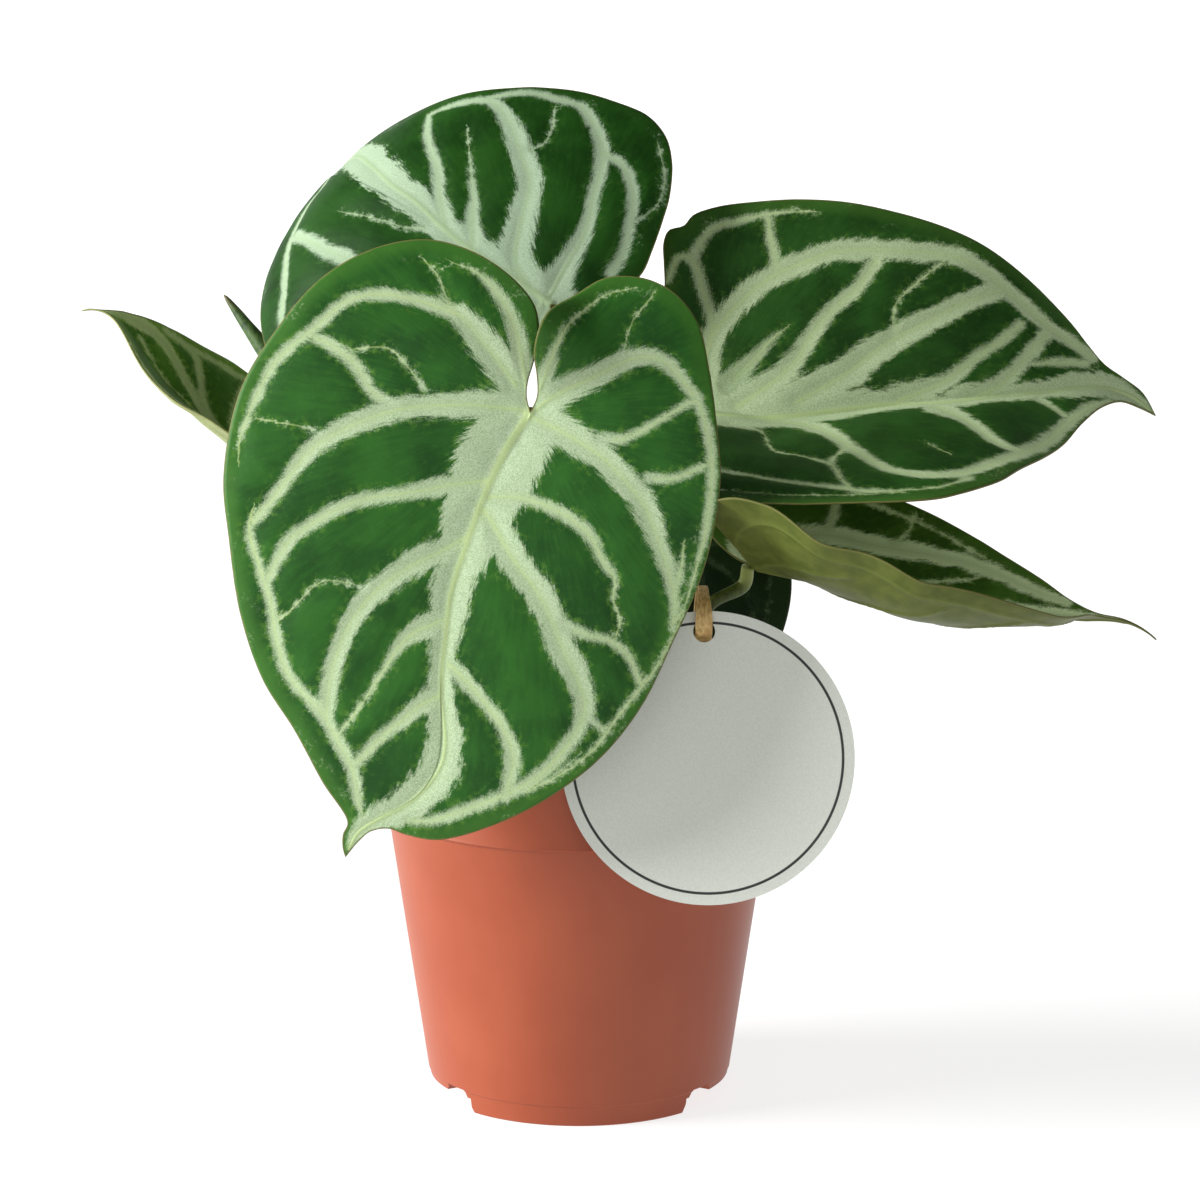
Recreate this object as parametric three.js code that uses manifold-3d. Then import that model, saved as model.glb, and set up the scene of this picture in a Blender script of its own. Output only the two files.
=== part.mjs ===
import * as THREE from 'three';
import { mergeVertices } from 'three/addons/utils/BufferGeometryUtils.js';
import Module from 'manifold-3d';

// A potted anthurium with heart-shaped, silver-veined leaves, in millimetres, +Z up.
// The origin is the centre of the pot's underside, and the front faces -Y.

// Clearances
const GAP = 0.3;
const SEAT_GAP = 0.45;

// Pot: a thin moulded cone with a shallow rim band, a raised channel under its floor and three feet
const POT = {
  height: 105,
  rimRadius: 60,
  footRadius: 44.2,
  beadHeight: 6.4,
  bandHeight: 85.3,
  bandStep: 0.6,
  wall: 1.8,
  wallSlope: 0.1464,
  floor: 2,
  channelHeight: 5,
  channelInner: 26,
  channelOuter: 41,
  segments: 60,
};
const CUT = { inner: 38, outer: 50, below: 1 };
const SKIRTS = { angles: [-18, 90, 198], halfWidth: 27, flare: 0, height: 4.4 };
const SIDES = { angles: [-37, 71, 109, 217], halfWidth: 5, flare: 5, height: 6.6 };
const DRAIN = { count: 6, radius: 3.5, pitchRadius: 34, firstAngle: 30 };

// Soil: level peat with low clods
const SOIL = { level: 94.6, dome: 1.2, clod: 1.1, segments: 36, rings: [0.84, 0.68, 0.52, 0.36, 0.2] };

// Crown: the short thick stem that every petiole grows from
const CROWN = {
  segments: 16,
  profile: [
    [0, 62], [3, 63], [5.5, 68], [7.5, 78], [9.5, 88], [11, 96], [10.5, 101], [8, 105.5], [4, 108], [0, 109],
  ],
};

// Petioles: route of each leaf stalk, ending just behind its blade
const PETIOLE_SIDES = 8;
const PETIOLE_STEPS = 14;
const SOCKET_DEPTH = 6;
const PETIOLES = {
  petiole_front: {
    blade: 'leaf_front',
    radius: 2,
    route: [[1, -7, 104], [0, -16, 130], [-3, -29, 170], [-8, -42, 198]],
  },
  petiole_back: {
    blade: 'leaf_back',
    radius: 2,
    route: [[0, 6.5, 104.5], [-3, 15, 150], [-5, 17, 195], [-6, 12, 222]],
  },
  petiole_right: {
    blade: 'leaf_right',
    radius: 2,
    route: [[7, 2, 104], [20, 9, 135], [33, 10, 170], [37, 9, 188]],
  },
  petiole_low: {
    blade: 'leaf_low',
    radius: 1.9,
    route: [[6, -7, 103], [20, -28, 125], [30, -38, 143.5], [38.4, -38, 153.6]],
  },
  petiole_left: {
    blade: 'leaf_left',
    radius: 1.8,
    route: [[-8.5, -1.5, 102.5], [-38, -5, 125], [-70, -6, 155], [-81, -6, 170]],
  },
  petiole_shade: {
    blade: 'leaf_shade',
    radius: 1.6,
    route: [[3.5, -1, 107], [18, -6, 126], [30, -4, 146], [35, 0, 157]],
  },
};

// Young leaf: a furled blade on a straight stalk, leaning out to the left and back
const YOUNG = {
  root: [-6, 5, 104.5],
  tip: [-109, 56, 232.6],
  bladeLength: 95,
  stalkRadius: 1.6,
  profile: [
    [0, 0], [2.2, 0.4], [3.4, 10], [4.6, 24], [4.9, 40], [4.2, 58], [3, 74], [1.5, 88], [0.6, 94], [0, 95],
  ],
  segments: 12,
};

// Tag: a round card leaning on the rim, with a strap through its hole and round the low petiole
const TAG = {
  centre: [36.6, -58.9, 112.9],
  lean: 12,
  radius: 41.3,
  thickness: 0.8,
  hole: 3.1,
  holeOffset: [-1, 35.6],
  segments: 64,
};
const STRAP = {
  left: 33.1,
  width: 4.8,
  thickness: 0.7,
  samples: 26,
  loop: [
    [-51.9, 147.4], [-48.6, 145.6], [-44, 143.8], [-39, 143.2], [-35.4, 146], [-34.4, 151.5], [-35.4, 156.4],
    [-39.6, 158.4], [-45.4, 157.6], [-50.6, 155.6], [-52.6, 153.4], [-53, 150.2],
  ],
};

// Blades. Leaf coordinates are x to the right of the midrib and y towards the tip, from the point
// where the petiole meets the blade. A blade is placed by its base, heading, rise and roll, then bent
// along y, folded and curled across x, and lifted locally.
const BLADE_THICKNESS = 0.8;
const RELIEF = { vein: 0.35, rib: 0.45, midrib: 1.1, groove: 0.3, swell: 0.55, collective: 0.88 };
const COLUMNS = [0, 0.035, 0.16, 0.32, 0.48, 0.64, 0.78, 0.88, 0.95, 1];
const ROW_LINEAR = 0.2;
const MARGIN_SAMPLES = 600;

const LEAVES = {
  leaf_front: {
    rows: 20,
    base: [-13, -55, 210],
    heading: 221,
    rise: -64,
    roll: -42,
    bend: [[-46, -14], [0, 0], [60, 4], [118, 14], [134, 40]],
    fold: [[-46, 2, 6], [0, 6, 8], [60, 4, 6], [130, 2, 2]],
    curl: [[0, -30, -18]],
    midline: [[0, 0], [22, 3.5], [50, 4], [75, -1], [98, -8.5], [111, -6], [124, 6], [132, 8]],
    lifts: [{ side: -1, x: 6.5, y: -21, radius: 11.5, height: 14 }],
    right: [
      [0, 0], [2.5, -4], [3.6, -8], [4, -14], [5, -21], [9, -29], [17, -34.5], [30.5, -38.5],
      [44, -38], [56.5, -31.5], [68, -18.5], [75.3, 0], [79.2, 20], [75.6, 44], [68.3, 60],
      [58, 79.5], [46.3, 94.5], [33.6, 104.6], [21.6, 115.6], [11.5, 124], [11.8, 128], [11, 132],
      [9.6, 135],
    ],
    left: [
      [0, 0], [-0.3, -5], [1.5, -10], [3.5, -14], [4, -20], [3, -28], [0, -35], [-6, -44],
      [-16, -48], [-26, -47], [-35, -41], [-42, -30], [-50, -14], [-56, 0], [-59, 14], [-60, 30],
      [-58.5, 47], [-56, 67], [-50, 84], [-40, 99], [-27, 112], [-14, 120.5], [-5, 122], [0, 122],
      [4.5, 124.5], [7, 128.5], [9.6, 135],
    ],
  },
  leaf_back: {
    rows: 20,
    base: [-8, 5, 234],
    heading: 160,
    rise: 33,
    roll: -62,
    bend: [[-30, -20], [0, 0], [55, 15], [95, 58], [135, 100]],
    fold: [[-60, 0, 0], [0, 4, 4], [60, 2, 2]],
    curl: [[0, -45, -45]],
    midline: [[0, 0]],
    lifts: [{ side: 1, x: 26, y: 92, radius: 26, height: -3 }],
    right: [
      [0, 0], [6, -8], [14, -13], [24, -15], [32, -13], [42, -9.5], [50, -6], [60, 1], [67, 9],
      [70, 19], [68, 30], [64, 42], [58, 52], [50, 63], [42, 75], [33, 88], [23, 101], [12, 113],
      [5, 123], [0, 137],
    ],
    left: [
      [0, 0], [-4, -4.5], [-12, -6], [-20, -4.5], [-28, -4.5], [-37, -8], [-47, -11], [-57, -9],
      [-64.5, -2], [-68.8, 10], [-70, 28], [-68.8, 46], [-64.4, 62.5], [-59, 76], [-50, 90],
      [-38.5, 101], [-25.5, 110.5], [-13, 118], [-5, 125], [0, 137],
    ],
  },
  leaf_right: {
    rows: 20,
    base: [36, 5, 203],
    heading: 0,
    rise: 4,
    roll: 40,
    bend: [[-40, -10], [0, 0], [60, 6], [110, 20], [150, 45]],
    fold: [[-60, 24, 22], [0, 26, 26], [80, 24, 24], [130, 10, 10]],
    curl: [[0, -14, -5]],
    midline: [[0, 0], [25, 5], [60, 0], [100, -8], [125, -17], [146, -15]],
    lifts: [],
    right: [
      [0, 0], [5, -8], [18, -15], [35, -17], [50, -13], [61, -5], [66, 5], [67, 20], [68, 34],
      [69, 50], [67.5, 60], [64, 66], [59.2, 72.2], [53.3, 78.4], [43.5, 85.6], [32.5, 94.3],
      [20.7, 102.9], [4.8, 112.8], [-6.4, 121.7], [-12.9, 130.3], [-14, 137], [-14.8, 144.5],
    ],
    left: [
      [0, 0], [-6, -6], [-18, -9], [-30, -9], [-40.5, -7.5], [-48, -7.2], [-54.6, -6.8],
      [-58.6, -5], [-59.6, -1], [-63, 2], [-65, 9], [-65.4, 21], [-65.6, 33], [-64.7, 47],
      [-61.8, 62], [-57, 79], [-52, 91], [-44.6, 104], [-37.2, 113.8], [-30.4, 120.4],
      [-26, 125.4], [-23.6, 132], [-20.8, 139.5], [-14.8, 144.5],
    ],
  },
  leaf_low: {
    rows: 16,
    base: [48.5, -36, 164],
    heading: -2,
    rise: -12,
    roll: 10,
    bend: [[-40, -5], [0, 0], [30, 1], [70, -8], [104, -8], [120, 34]],
    fold: [
      [-40, 34, 38], [0, 34, 31], [18, 33, 7], [32, 33, -3], [50, 32, -12.5], [86, 30, -1],
      [104, 30, 30],
    ],
    curl: [[0, 0, 60], [30, 0, 140], [86, 0, 140], [104, 0, 0]],
    midline: [[0, 0]],
    lifts: [],
    right: [
      [0, 0], [5, -1], [12, -4], [19, -8.5], [26, -13], [33, -14], [38, -9.5], [41.5, -1], [44, 7],
      [46, 16.5], [47.8, 28], [49.6, 40], [48, 56], [42.5, 70], [31.5, 84], [14.5, 96], [3.5, 102],
      [0, 119],
    ],
    left: [
      [0, 0], [-2, -5], [-8, -12], [-18, -16], [-29, -13], [-36, -4], [-38, 8], [-38, 22],
      [-36.5, 34], [-35, 43], [-31.5, 54], [-25, 67], [-21, 73], [-13, 84.5], [-6, 93],
      [-2, 100.5], [-1, 108], [0, 119],
    ],
  },
  leaf_left: {
    rows: 14,
    base: [-83.5, -6, 181.2],
    heading: 180,
    rise: 34,
    roll: -10,
    bend: [[-40, -5], [0, 0], [30, -6], [60, -26], [70, -18], [86, 70]],
    fold: [[-60, 24, 14], [0, 24, 14], [32, 23, 14], [46, 16, 14], [64, 9, 14]],
    curl: [[0, 0, 0]],
    midline: [[0, 0]],
    lifts: [],
    right: [
      [0, 0], [2, -5], [7, -12], [16, -17], [26, -15], [33, -8], [37, 4], [38, 18], [36.5, 30],
      [35, 38], [28.6, 49], [23.6, 56], [17.6, 62], [11.6, 67], [5.6, 71.5], [0.5, 76.5],
      [0, 82.5],
    ],
    left: [
      [0, 0], [-2, -5], [-6, -12], [-14, -17], [-23, -15], [-29.5, -8], [-33, 4], [-33.5, 18],
      [-31.6, 31], [-26.8, 43], [-20, 53], [-13, 62], [-6, 69], [-1.5, 75.5], [0, 82.5],
    ],
  },
  leaf_shade: {
    rows: 12,
    base: [35, -5, 164],
    heading: -80,
    rise: -66,
    roll: 0,
    bend: [[-12, 0], [0, 0], [30, 8], [54, 22]],
    fold: [[0, 6, 6]],
    curl: [[0, -20, -20]],
    midline: [[0, 0]],
    lifts: [],
    right: [
      [0, 0], [1.5, -4], [6, -10], [13, -12], [20, -9], [25, -2], [26.6, 8], [25, 18], [20.8, 29],
      [14, 39], [7, 46], [2, 49.5], [0, 54],
    ],
    left: [
      [0, 0], [-1.5, -4], [-6, -10], [-13, -12], [-20, -9], [-25, -2], [-27, 8], [-26, 18],
      [-22, 29], [-15, 39], [-7, 46], [-2, 49.5], [0, 54],
    ],
  },
};

// Materials
const TERRACOTTA = { color: 0xc9694a, roughness: 0.55 };
const PEAT = { color: 0x2e2119, roughness: 1 };
const LEAF_TOP = { color: 0x2f6b38, roughness: 0.5 };
const LEAF_SHADED = { color: 0x1f4420, roughness: 0.6 };
const STALK = { color: 0x7d8f4a, roughness: 0.5 };
const CROWN_GREEN = { color: 0x6b6a3a, roughness: 0.7 };
const CARD = { color: 0xd9d8ce, roughness: 0.7 };
const TAN = { color: 0xb58c5c, roughness: 0.6 };

const wasm = await Module();
wasm.setup();

function radians(degrees) {
  return (degrees * Math.PI) / 180;
}

// Solids
function toSolid(geometry) {
  const bare = geometry.clone();
  bare.deleteAttribute('normal');
  bare.deleteAttribute('uv');
  const merged = mergeVertices(bare, 1e-4);
  const vertProperties = new Float32Array(merged.attributes.position.array);
  const triVerts = new Uint32Array(merged.index.array);
  return new wasm.Manifold(new wasm.Mesh({ numProp: 3, vertProperties, triVerts }));
}

function fromSolid(solid) {
  const mesh = solid.getMesh();
  const geometry = new THREE.BufferGeometry();
  geometry.setAttribute('position', new THREE.BufferAttribute(new Float32Array(mesh.vertProperties), 3));
  geometry.setIndex(new THREE.BufferAttribute(new Uint32Array(mesh.triVerts), 1));
  return geometry;
}

function meshOf(name, geometry, look) {
  const material = new THREE.MeshStandardMaterial({ metalness: 0, ...look });
  geometry.computeVertexNormals();
  const mesh = new THREE.Mesh(geometry, material);
  mesh.name = name;
  return mesh;
}

// A lathed solid stands on +Z; LatheGeometry turns about Y, so it is tipped up.
function latheUp(profile, segments) {
  const points = profile.map(([radius, z]) => new THREE.Vector2(radius, z));
  const geometry = new THREE.LatheGeometry(points, segments);
  geometry.rotateX(Math.PI / 2);
  return geometry;
}

function tube(points, radius, sides, steps) {
  const route = new THREE.CatmullRomCurve3(points, false, 'centripetal');
  const section = new THREE.Shape();
  for (let i = 0; i < sides; i += 1) {
    const turn = (2 * Math.PI * i) / sides;
    const x = radius * Math.cos(turn);
    const y = radius * Math.sin(turn);
    if (i === 0) {
      section.moveTo(x, y);
    } else {
      section.lineTo(x, y);
    }
  }
  section.closePath();
  return new THREE.ExtrudeGeometry(section, { steps, extrudePath: route, bevelEnabled: false });
}

// Blade surface
function stationValue(stations, column, y) {
  const last = stations.length - 1;
  if (y <= stations[0][0] || last === 0) {
    return stations[0][column];
  }
  if (y >= stations[last][0]) {
    return stations[last][column];
  }
  const slope = (i) => {
    if (i === 0 || i === last) {
      return 0;
    }
    return (stations[i + 1][column] - stations[i - 1][column]) / (stations[i + 1][0] - stations[i - 1][0]);
  };
  let i = 0;
  while (y > stations[i + 1][0]) {
    i += 1;
  }
  const span = stations[i + 1][0] - stations[i][0];
  const t = (y - stations[i][0]) / span;
  const from = stations[i][column] * (1 + 2 * t) * (1 - t) ** 2;
  const to = stations[i + 1][column] * t * t * (3 - 2 * t);
  return from + to + span * t * (t - 1) * (slope(i) * (t - 1) + slope(i + 1) * t);
}

function arcStep(fromAngle, toAngle, length) {
  const curvature = (toAngle - fromAngle) / length;
  if (Math.abs(curvature) < 1e-9) {
    return [length * Math.cos(fromAngle), length * Math.sin(fromAngle)];
  }
  const along = (Math.sin(toAngle) - Math.sin(fromAngle)) / curvature;
  const drop = (Math.cos(fromAngle) - Math.cos(toAngle)) / curvature;
  return [along, drop];
}

// The spine runs from y = 0 both ways through the bend stations as arcs of a circle.
function spineAt(bend, y) {
  const step = y < 0 ? -1 : 1;
  let i = bend.findIndex(([station]) => station === 0);
  let along = 0;
  let drop = 0;
  let hasNext = bend[i + 2 * step] !== undefined;
  while (hasNext && (y - bend[i + step][0]) * step > 0) {
    const length = bend[i + step][0] - bend[i][0];
    const [a, d] = arcStep(radians(bend[i][1]), radians(bend[i + step][1]), length);
    along += a;
    drop += d;
    i += step;
    hasNext = bend[i + 2 * step] !== undefined;
  }
  const from = radians(bend[i][1]);
  const rate = (radians(bend[i + step][1]) - from) / (bend[i + step][0] - bend[i][0]);
  const length = y - bend[i][0];
  const angle = from + rate * length;
  if (length !== 0) {
    const [a, d] = arcStep(from, angle, length);
    along += a;
    drop += d;
  }
  return { along, drop, angle };
}

function leafAxes(leaf) {
  const h = radians(leaf.heading);
  const r = radians(leaf.rise);
  const q = radians(leaf.roll);
  const forward = new THREE.Vector3(Math.cos(r) * Math.cos(h), Math.cos(r) * Math.sin(h), Math.sin(r));
  const up = new THREE.Vector3(-Math.sin(r) * Math.cos(h), -Math.sin(r) * Math.sin(h), Math.cos(r));
  const across = new THREE.Vector3().crossVectors(forward, up);
  const normal = up.clone().multiplyScalar(Math.cos(q)).addScaledVector(across, Math.sin(q));
  const right = across.clone().multiplyScalar(Math.cos(q)).addScaledVector(up, -Math.sin(q));
  return { forward, normal, right };
}

function leafPoint(leaf, side, x, y) {
  const { forward, normal, right } = leaf.axes;
  const { along, drop, angle } = spineAt(leaf.bend, y);
  const up = normal.clone().multiplyScalar(Math.cos(angle)).addScaledVector(forward, Math.sin(angle));
  const middle = stationValue(leaf.midline, 1, y);
  const column = side < 0 ? 1 : 2;
  const fold = radians(stationValue(leaf.fold, column, y));
  const curl = radians(stationValue(leaf.curl, column, y)) / 100;
  const reach = side * (x - middle);
  const [out, rise] = arcStep(fold, fold + curl * reach, reach === 0 ? 1e-9 : reach);
  let lift = rise;
  for (const bump of leaf.lifts) {
    if (bump.side === side) {
      const distance = Math.hypot(x - bump.x, y - bump.y) / bump.radius;
      lift += bump.height * Math.exp(-distance * distance);
    }
  }
  return new THREE.Vector3(...leaf.base)
    .addScaledVector(forward, along)
    .addScaledVector(normal, -drop)
    .addScaledVector(right, middle + side * out)
    .addScaledVector(up, lift);
}

function leafNormal(leaf, side, x, y) {
  const step = 0.05;
  const acrossX = leafPoint(leaf, side, x + step, y).sub(leafPoint(leaf, side, x - step, y));
  const alongY = leafPoint(leaf, side, x, y + step).sub(leafPoint(leaf, side, x, y - step));
  return new THREE.Vector3().crossVectors(acrossX, alongY).normalize();
}

// A half outline is split at the lobe's rearmost point into the lobe and the outer margin.
function halfMargin(points, rows) {
  const corners = points.map(([x, y]) => new THREE.Vector3(x, y, 0));
  const curve = new THREE.CatmullRomCurve3(corners, false, 'centripetal');
  curve.arcLengthDivisions = 2 * MARGIN_SAMPLES;
  const fine = curve.getSpacedPoints(MARGIN_SAMPLES);
  const rear = fine.reduce((best, point, i) => (point.y < fine[best].y ? i : best), 0) / MARGIN_SAMPLES;
  const lobe = COLUMNS.map((v) => curve.getPointAt(rear * v));
  const outer = [];
  for (let i = 0; i <= rows; i += 1) {
    outer.push(curve.getPointAt(Math.min(1, rear + ((1 - rear) * i) / rows)));
  }
  return { lobe, outer };
}

function midlinePoint(leaf, u) {
  const length = leaf.right[leaf.right.length - 1][1];
  const tipX = leaf.right[leaf.right.length - 1][0];
  const y = length * (ROW_LINEAR * u + (1 - ROW_LINEAR) * u ** 3);
  const end = stationValue(leaf.midline, 1, length);
  return [stationValue(leaf.midline, 1, y) + ((tipX - end) * y) / length, y];
}

// Relief: lateral veins lie on every second row, sunk above and ribbed below, with swells between them.
function reliefAt(row, rows, column) {
  const v = COLUMNS[column];
  const fade = Math.min(1, row / 2, (rows - row) / 3) * Math.sqrt(Math.sin(Math.PI * v));
  if (column === 0) {
    const taper = Math.min(1, Math.max(0, row - 2) / 3) * (1 - row / rows);
    return { above: -RELIEF.groove * taper, below: RELIEF.midrib * taper };
  }
  if (v === RELIEF.collective) {
    return { above: -RELIEF.vein * fade, below: RELIEF.rib * fade };
  }
  if (row % 2 === 0) {
    return { above: -RELIEF.vein * fade, below: RELIEF.rib * fade };
  }
  const swell = RELIEF.swell * fade * Math.min(1, v / 0.3);
  return { above: swell, below: -swell };
}

function bladeVertex(leaf, side, x, y, relief, faces) {
  const point = leafPoint(leaf, side, x, y);
  const normal = leafNormal(leaf, side, x, y);
  faces.upper.push(point.clone().addScaledVector(normal, BLADE_THICKNESS / 2 + relief.above));
  faces.lower.push(point.clone().addScaledVector(normal, -BLADE_THICKNESS / 2 - relief.below));
}

function bladeGeometry(leaf) {
  const faces = { upper: [], lower: [] };
  const { rows } = leaf;
  const last = COLUMNS.length - 1;
  const spine = [];
  for (let row = 0; row <= rows; row += 1) {
    const [x, y] = midlinePoint(leaf, row / rows);
    const normal = leafNormal(leaf, 1, x, y).add(leafNormal(leaf, -1, x, y)).normalize();
    const point = leafPoint(leaf, 1, x, y);
    const relief = reliefAt(row, rows, 0);
    spine.push(faces.upper.length);
    faces.upper.push(point.clone().addScaledVector(normal, BLADE_THICKNESS / 2 + relief.above));
    faces.lower.push(point.clone().addScaledVector(normal, -BLADE_THICKNESS / 2 - relief.below));
  }
  const grids = {};
  for (const side of [-1, 1]) {
    const { lobe, outer } = halfMargin(side < 0 ? leaf.left : leaf.right, rows);
    const grid = [];
    for (let row = 0; row < rows; row += 1) {
      const u = row / rows;
      const [midX, midY] = midlinePoint(leaf, u);
      const line = [spine[row]];
      for (let column = 1; column <= last; column += 1) {
        const v = COLUMNS[column];
        const pull = 1 - u;
        const x = (1 - v) * midX + v * outer[row].x + pull * (lobe[column].x - v * lobe[last].x);
        const y = (1 - v) * midY + v * outer[row].y + pull * (lobe[column].y - v * lobe[last].y);
        line.push(faces.upper.length);
        bladeVertex(leaf, side, x, y, reliefAt(row, rows, column), faces);
      }
      grid.push(line);
    }
    grid.push(new Array(last + 1).fill(spine[rows]));
    grids[side] = grid;
  }
  return closedBlade(faces, grids, rows, last);
}

// Both faces use the same triangles, the lower ones turned over, and a rim joins their margins.
function closedBlade(faces, grids, rows, last) {
  const count = faces.upper.length;
  const index = [];
  const addTriangle = (a, b, c) => {
    if (a !== b && b !== c && a !== c) {
      index.push(a, b, c);
      index.push(count + a, count + c, count + b);
    }
  };
  for (const side of [-1, 1]) {
    const grid = grids[side];
    for (let row = 0; row < rows; row += 1) {
      for (let column = 0; column < last; column += 1) {
        const a = grid[row][column];
        const b = grid[row][column + 1];
        const c = grid[row + 1][column + 1];
        const d = grid[row + 1][column];
        if (side > 0) {
          addTriangle(a, b, c);
          addTriangle(a, c, d);
        } else {
          addTriangle(a, c, b);
          addTriangle(a, d, c);
        }
      }
    }
  }
  const loop = marginLoop(grids, rows, last);
  for (let i = 0; i < loop.length; i += 1) {
    const a = loop[i];
    const b = loop[(i + 1) % loop.length];
    index.push(b, a, count + a);
    index.push(b, count + a, count + b);
  }
  const geometry = new THREE.BufferGeometry();
  const corners = [...faces.upper, ...faces.lower].flatMap((point) => point.toArray());
  geometry.setAttribute('position', new THREE.Float32BufferAttribute(corners, 3));
  geometry.setIndex(index);
  return geometry;
}

// The margin runs anticlockwise seen from above: right lobe, right margin, tip, left margin, left lobe.
function marginLoop(grids, rows, last) {
  const right = [];
  const left = [];
  for (let column = 0; column < last; column += 1) {
    right.push(grids[1][0][column]);
    left.push(grids[-1][0][column]);
  }
  for (let row = 0; row <= rows; row += 1) {
    right.push(grids[1][row][last]);
    left.push(grids[-1][row][last]);
  }
  return [...right, ...left.slice(1, -1).reverse()];
}

function blade(name) {
  const look = name === 'leaf_shade' ? LEAF_SHADED : LEAF_TOP;
  return meshOf(name, bladeGeometry(LEAVES[name]), look);
}

// Pot
function wallRadius(z) {
  return POT.footRadius + GAP + POT.wallSlope * z;
}

function potProfile() {
  const inside = (z) => wallRadius(z) - POT.wall;
  const floorTop = POT.channelHeight + POT.floor;
  const lip = 0.9;
  return [
    [0, 0],
    [POT.channelInner - 2, 0],
    [POT.channelInner, POT.channelHeight],
    [POT.channelOuter, POT.channelHeight],
    [POT.channelOuter + 0.6, 0],
    [POT.footRadius, 0],
    [POT.footRadius + POT.wallSlope * POT.beadHeight, POT.beadHeight - 0.3],
    [wallRadius(POT.beadHeight), POT.beadHeight],
    [wallRadius(POT.bandHeight), POT.bandHeight - POT.bandStep],
    [wallRadius(POT.bandHeight) + POT.bandStep, POT.bandHeight],
    [POT.rimRadius, POT.height - lip],
    [POT.rimRadius - lip / 3, POT.height - lip / 3],
    [POT.rimRadius - lip, POT.height],
    [inside(POT.height) + lip / 3, POT.height - lip / 3],
    [inside(POT.height - 2), POT.height - 2],
    [inside(floorTop + 1), floorTop + 1],
    [inside(floorTop) - 1, floorTop],
    [POT.channelInner + 1.5, floorTop],
    [POT.channelInner - 2.5, POT.floor],
    [0, POT.floor],
  ];
}

// One cut: a wedge seen from above, narrower at its top, through the foot ring.
function footCut(angle, cut) {
  const bottom = radians(cut.halfWidth + cut.flare);
  const top = radians(cut.halfWidth);
  const corners = [];
  for (const [z, half] of [[-CUT.below, bottom], [cut.height, top]]) {
    for (const radius of [CUT.inner, CUT.outer]) {
      for (const turn of [-half, half]) {
        const reach = radius / Math.cos(half);
        const at = radians(angle) + turn;
        corners.push(reach * Math.cos(at), reach * Math.sin(at), z);
      }
    }
  }
  const index = [
    0, 1, 2, 2, 1, 3, 4, 6, 5, 6, 7, 5, 0, 4, 1, 1, 4, 5,
    2, 3, 6, 3, 7, 6, 0, 2, 4, 2, 6, 4, 1, 5, 3, 3, 5, 7,
  ];
  const geometry = new THREE.BufferGeometry();
  geometry.setAttribute('position', new THREE.Float32BufferAttribute(corners, 3));
  geometry.setIndex(index);
  return geometry;
}

function pot() {
  let solid = toSolid(latheUp(potProfile(), POT.segments));
  for (const cut of [SKIRTS, SIDES]) {
    for (const angle of cut.angles) {
      solid = solid.subtract(toSolid(footCut(angle, cut)));
    }
  }
  for (let i = 0; i < DRAIN.count; i += 1) {
    const angle = radians(DRAIN.firstAngle + (360 * i) / DRAIN.count);
    const drill = new THREE.CylinderGeometry(DRAIN.radius, DRAIN.radius, 3 * POT.channelHeight, 12);
    drill.rotateX(Math.PI / 2);
    const [x, y] = [DRAIN.pitchRadius * Math.cos(angle), DRAIN.pitchRadius * Math.sin(angle)];
    drill.translate(x, y, POT.channelHeight);
    solid = solid.subtract(toSolid(drill));
  }
  return meshOf('pot', fromSolid(solid), TERRACOTTA);
}

// Soil
function soilProfile() {
  const inside = (z) => wallRadius(z) - POT.wall - SEAT_GAP;
  const floorTop = POT.channelHeight + POT.floor + SEAT_GAP;
  const edge = inside(SOIL.level) - GAP;
  return [
    [0, POT.floor + GAP],
    [POT.channelInner - 3.2, POT.floor + GAP],
    [POT.channelInner + 1.1, floorTop],
    [inside(floorTop) - 1.4, floorTop],
    [inside(floorTop + 2), floorTop + 2],
    [inside(SOIL.level - 2), SOIL.level - 2],
    [edge, SOIL.level],
    ...SOIL.rings.map((part) => [edge * part, SOIL.level + SOIL.dome * (1 - part)]),
    [0, SOIL.level + SOIL.dome],
  ];
}

function clodHeight(x, y) {
  const broad = Math.sin(x * 0.31 + 1.3) * Math.sin(y * 0.27 + 0.4);
  const fine = Math.sin(x * 0.83 - y * 0.61) * Math.cos(y * 0.92 + 2.1);
  return SOIL.clod * (0.6 * broad + 0.4 * fine);
}

function soil() {
  const body = latheUp(soilProfile(), SOIL.segments);
  const position = body.attributes.position;
  for (let i = 0; i < position.count; i += 1) {
    if (position.getZ(i) > SOIL.level + 1e-3) {
      position.setZ(i, position.getZ(i) + clodHeight(position.getX(i), position.getY(i)));
    }
  }
  const holeProfile = CROWN.profile.map(([radius, z], i) => {
    const grown = i === 0 || i === CROWN.profile.length - 1 ? 0 : radius + GAP;
    return [grown, i === 0 ? z - GAP : z];
  });
  const solid = toSolid(body).subtract(toSolid(latheUp(holeProfile, CROWN.segments)));
  return meshOf('soil', fromSolid(solid), PEAT);
}

// Petioles end square to the blade, just clear of its underside.
function petioleEnd(leaf, back) {
  const normal = leafNormal(leaf, 1, 0.01, 0.01).add(leafNormal(leaf, -1, -0.01, 0.01)).normalize();
  return new THREE.Vector3(...leaf.base).addScaledVector(normal, -(BLADE_THICKNESS / 2 + SEAT_GAP + back));
}

function petiolePoints(petiole) {
  const leaf = LEAVES[petiole.blade];
  const points = petiole.route.map((point) => new THREE.Vector3(...point));
  points.push(petioleEnd(leaf, 5), petioleEnd(leaf, 0));
  return points;
}

function petiole(name) {
  const spec = PETIOLES[name];
  return meshOf(name, tube(petiolePoints(spec), spec.radius, PETIOLE_SIDES, PETIOLE_STEPS), STALK);
}

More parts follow.
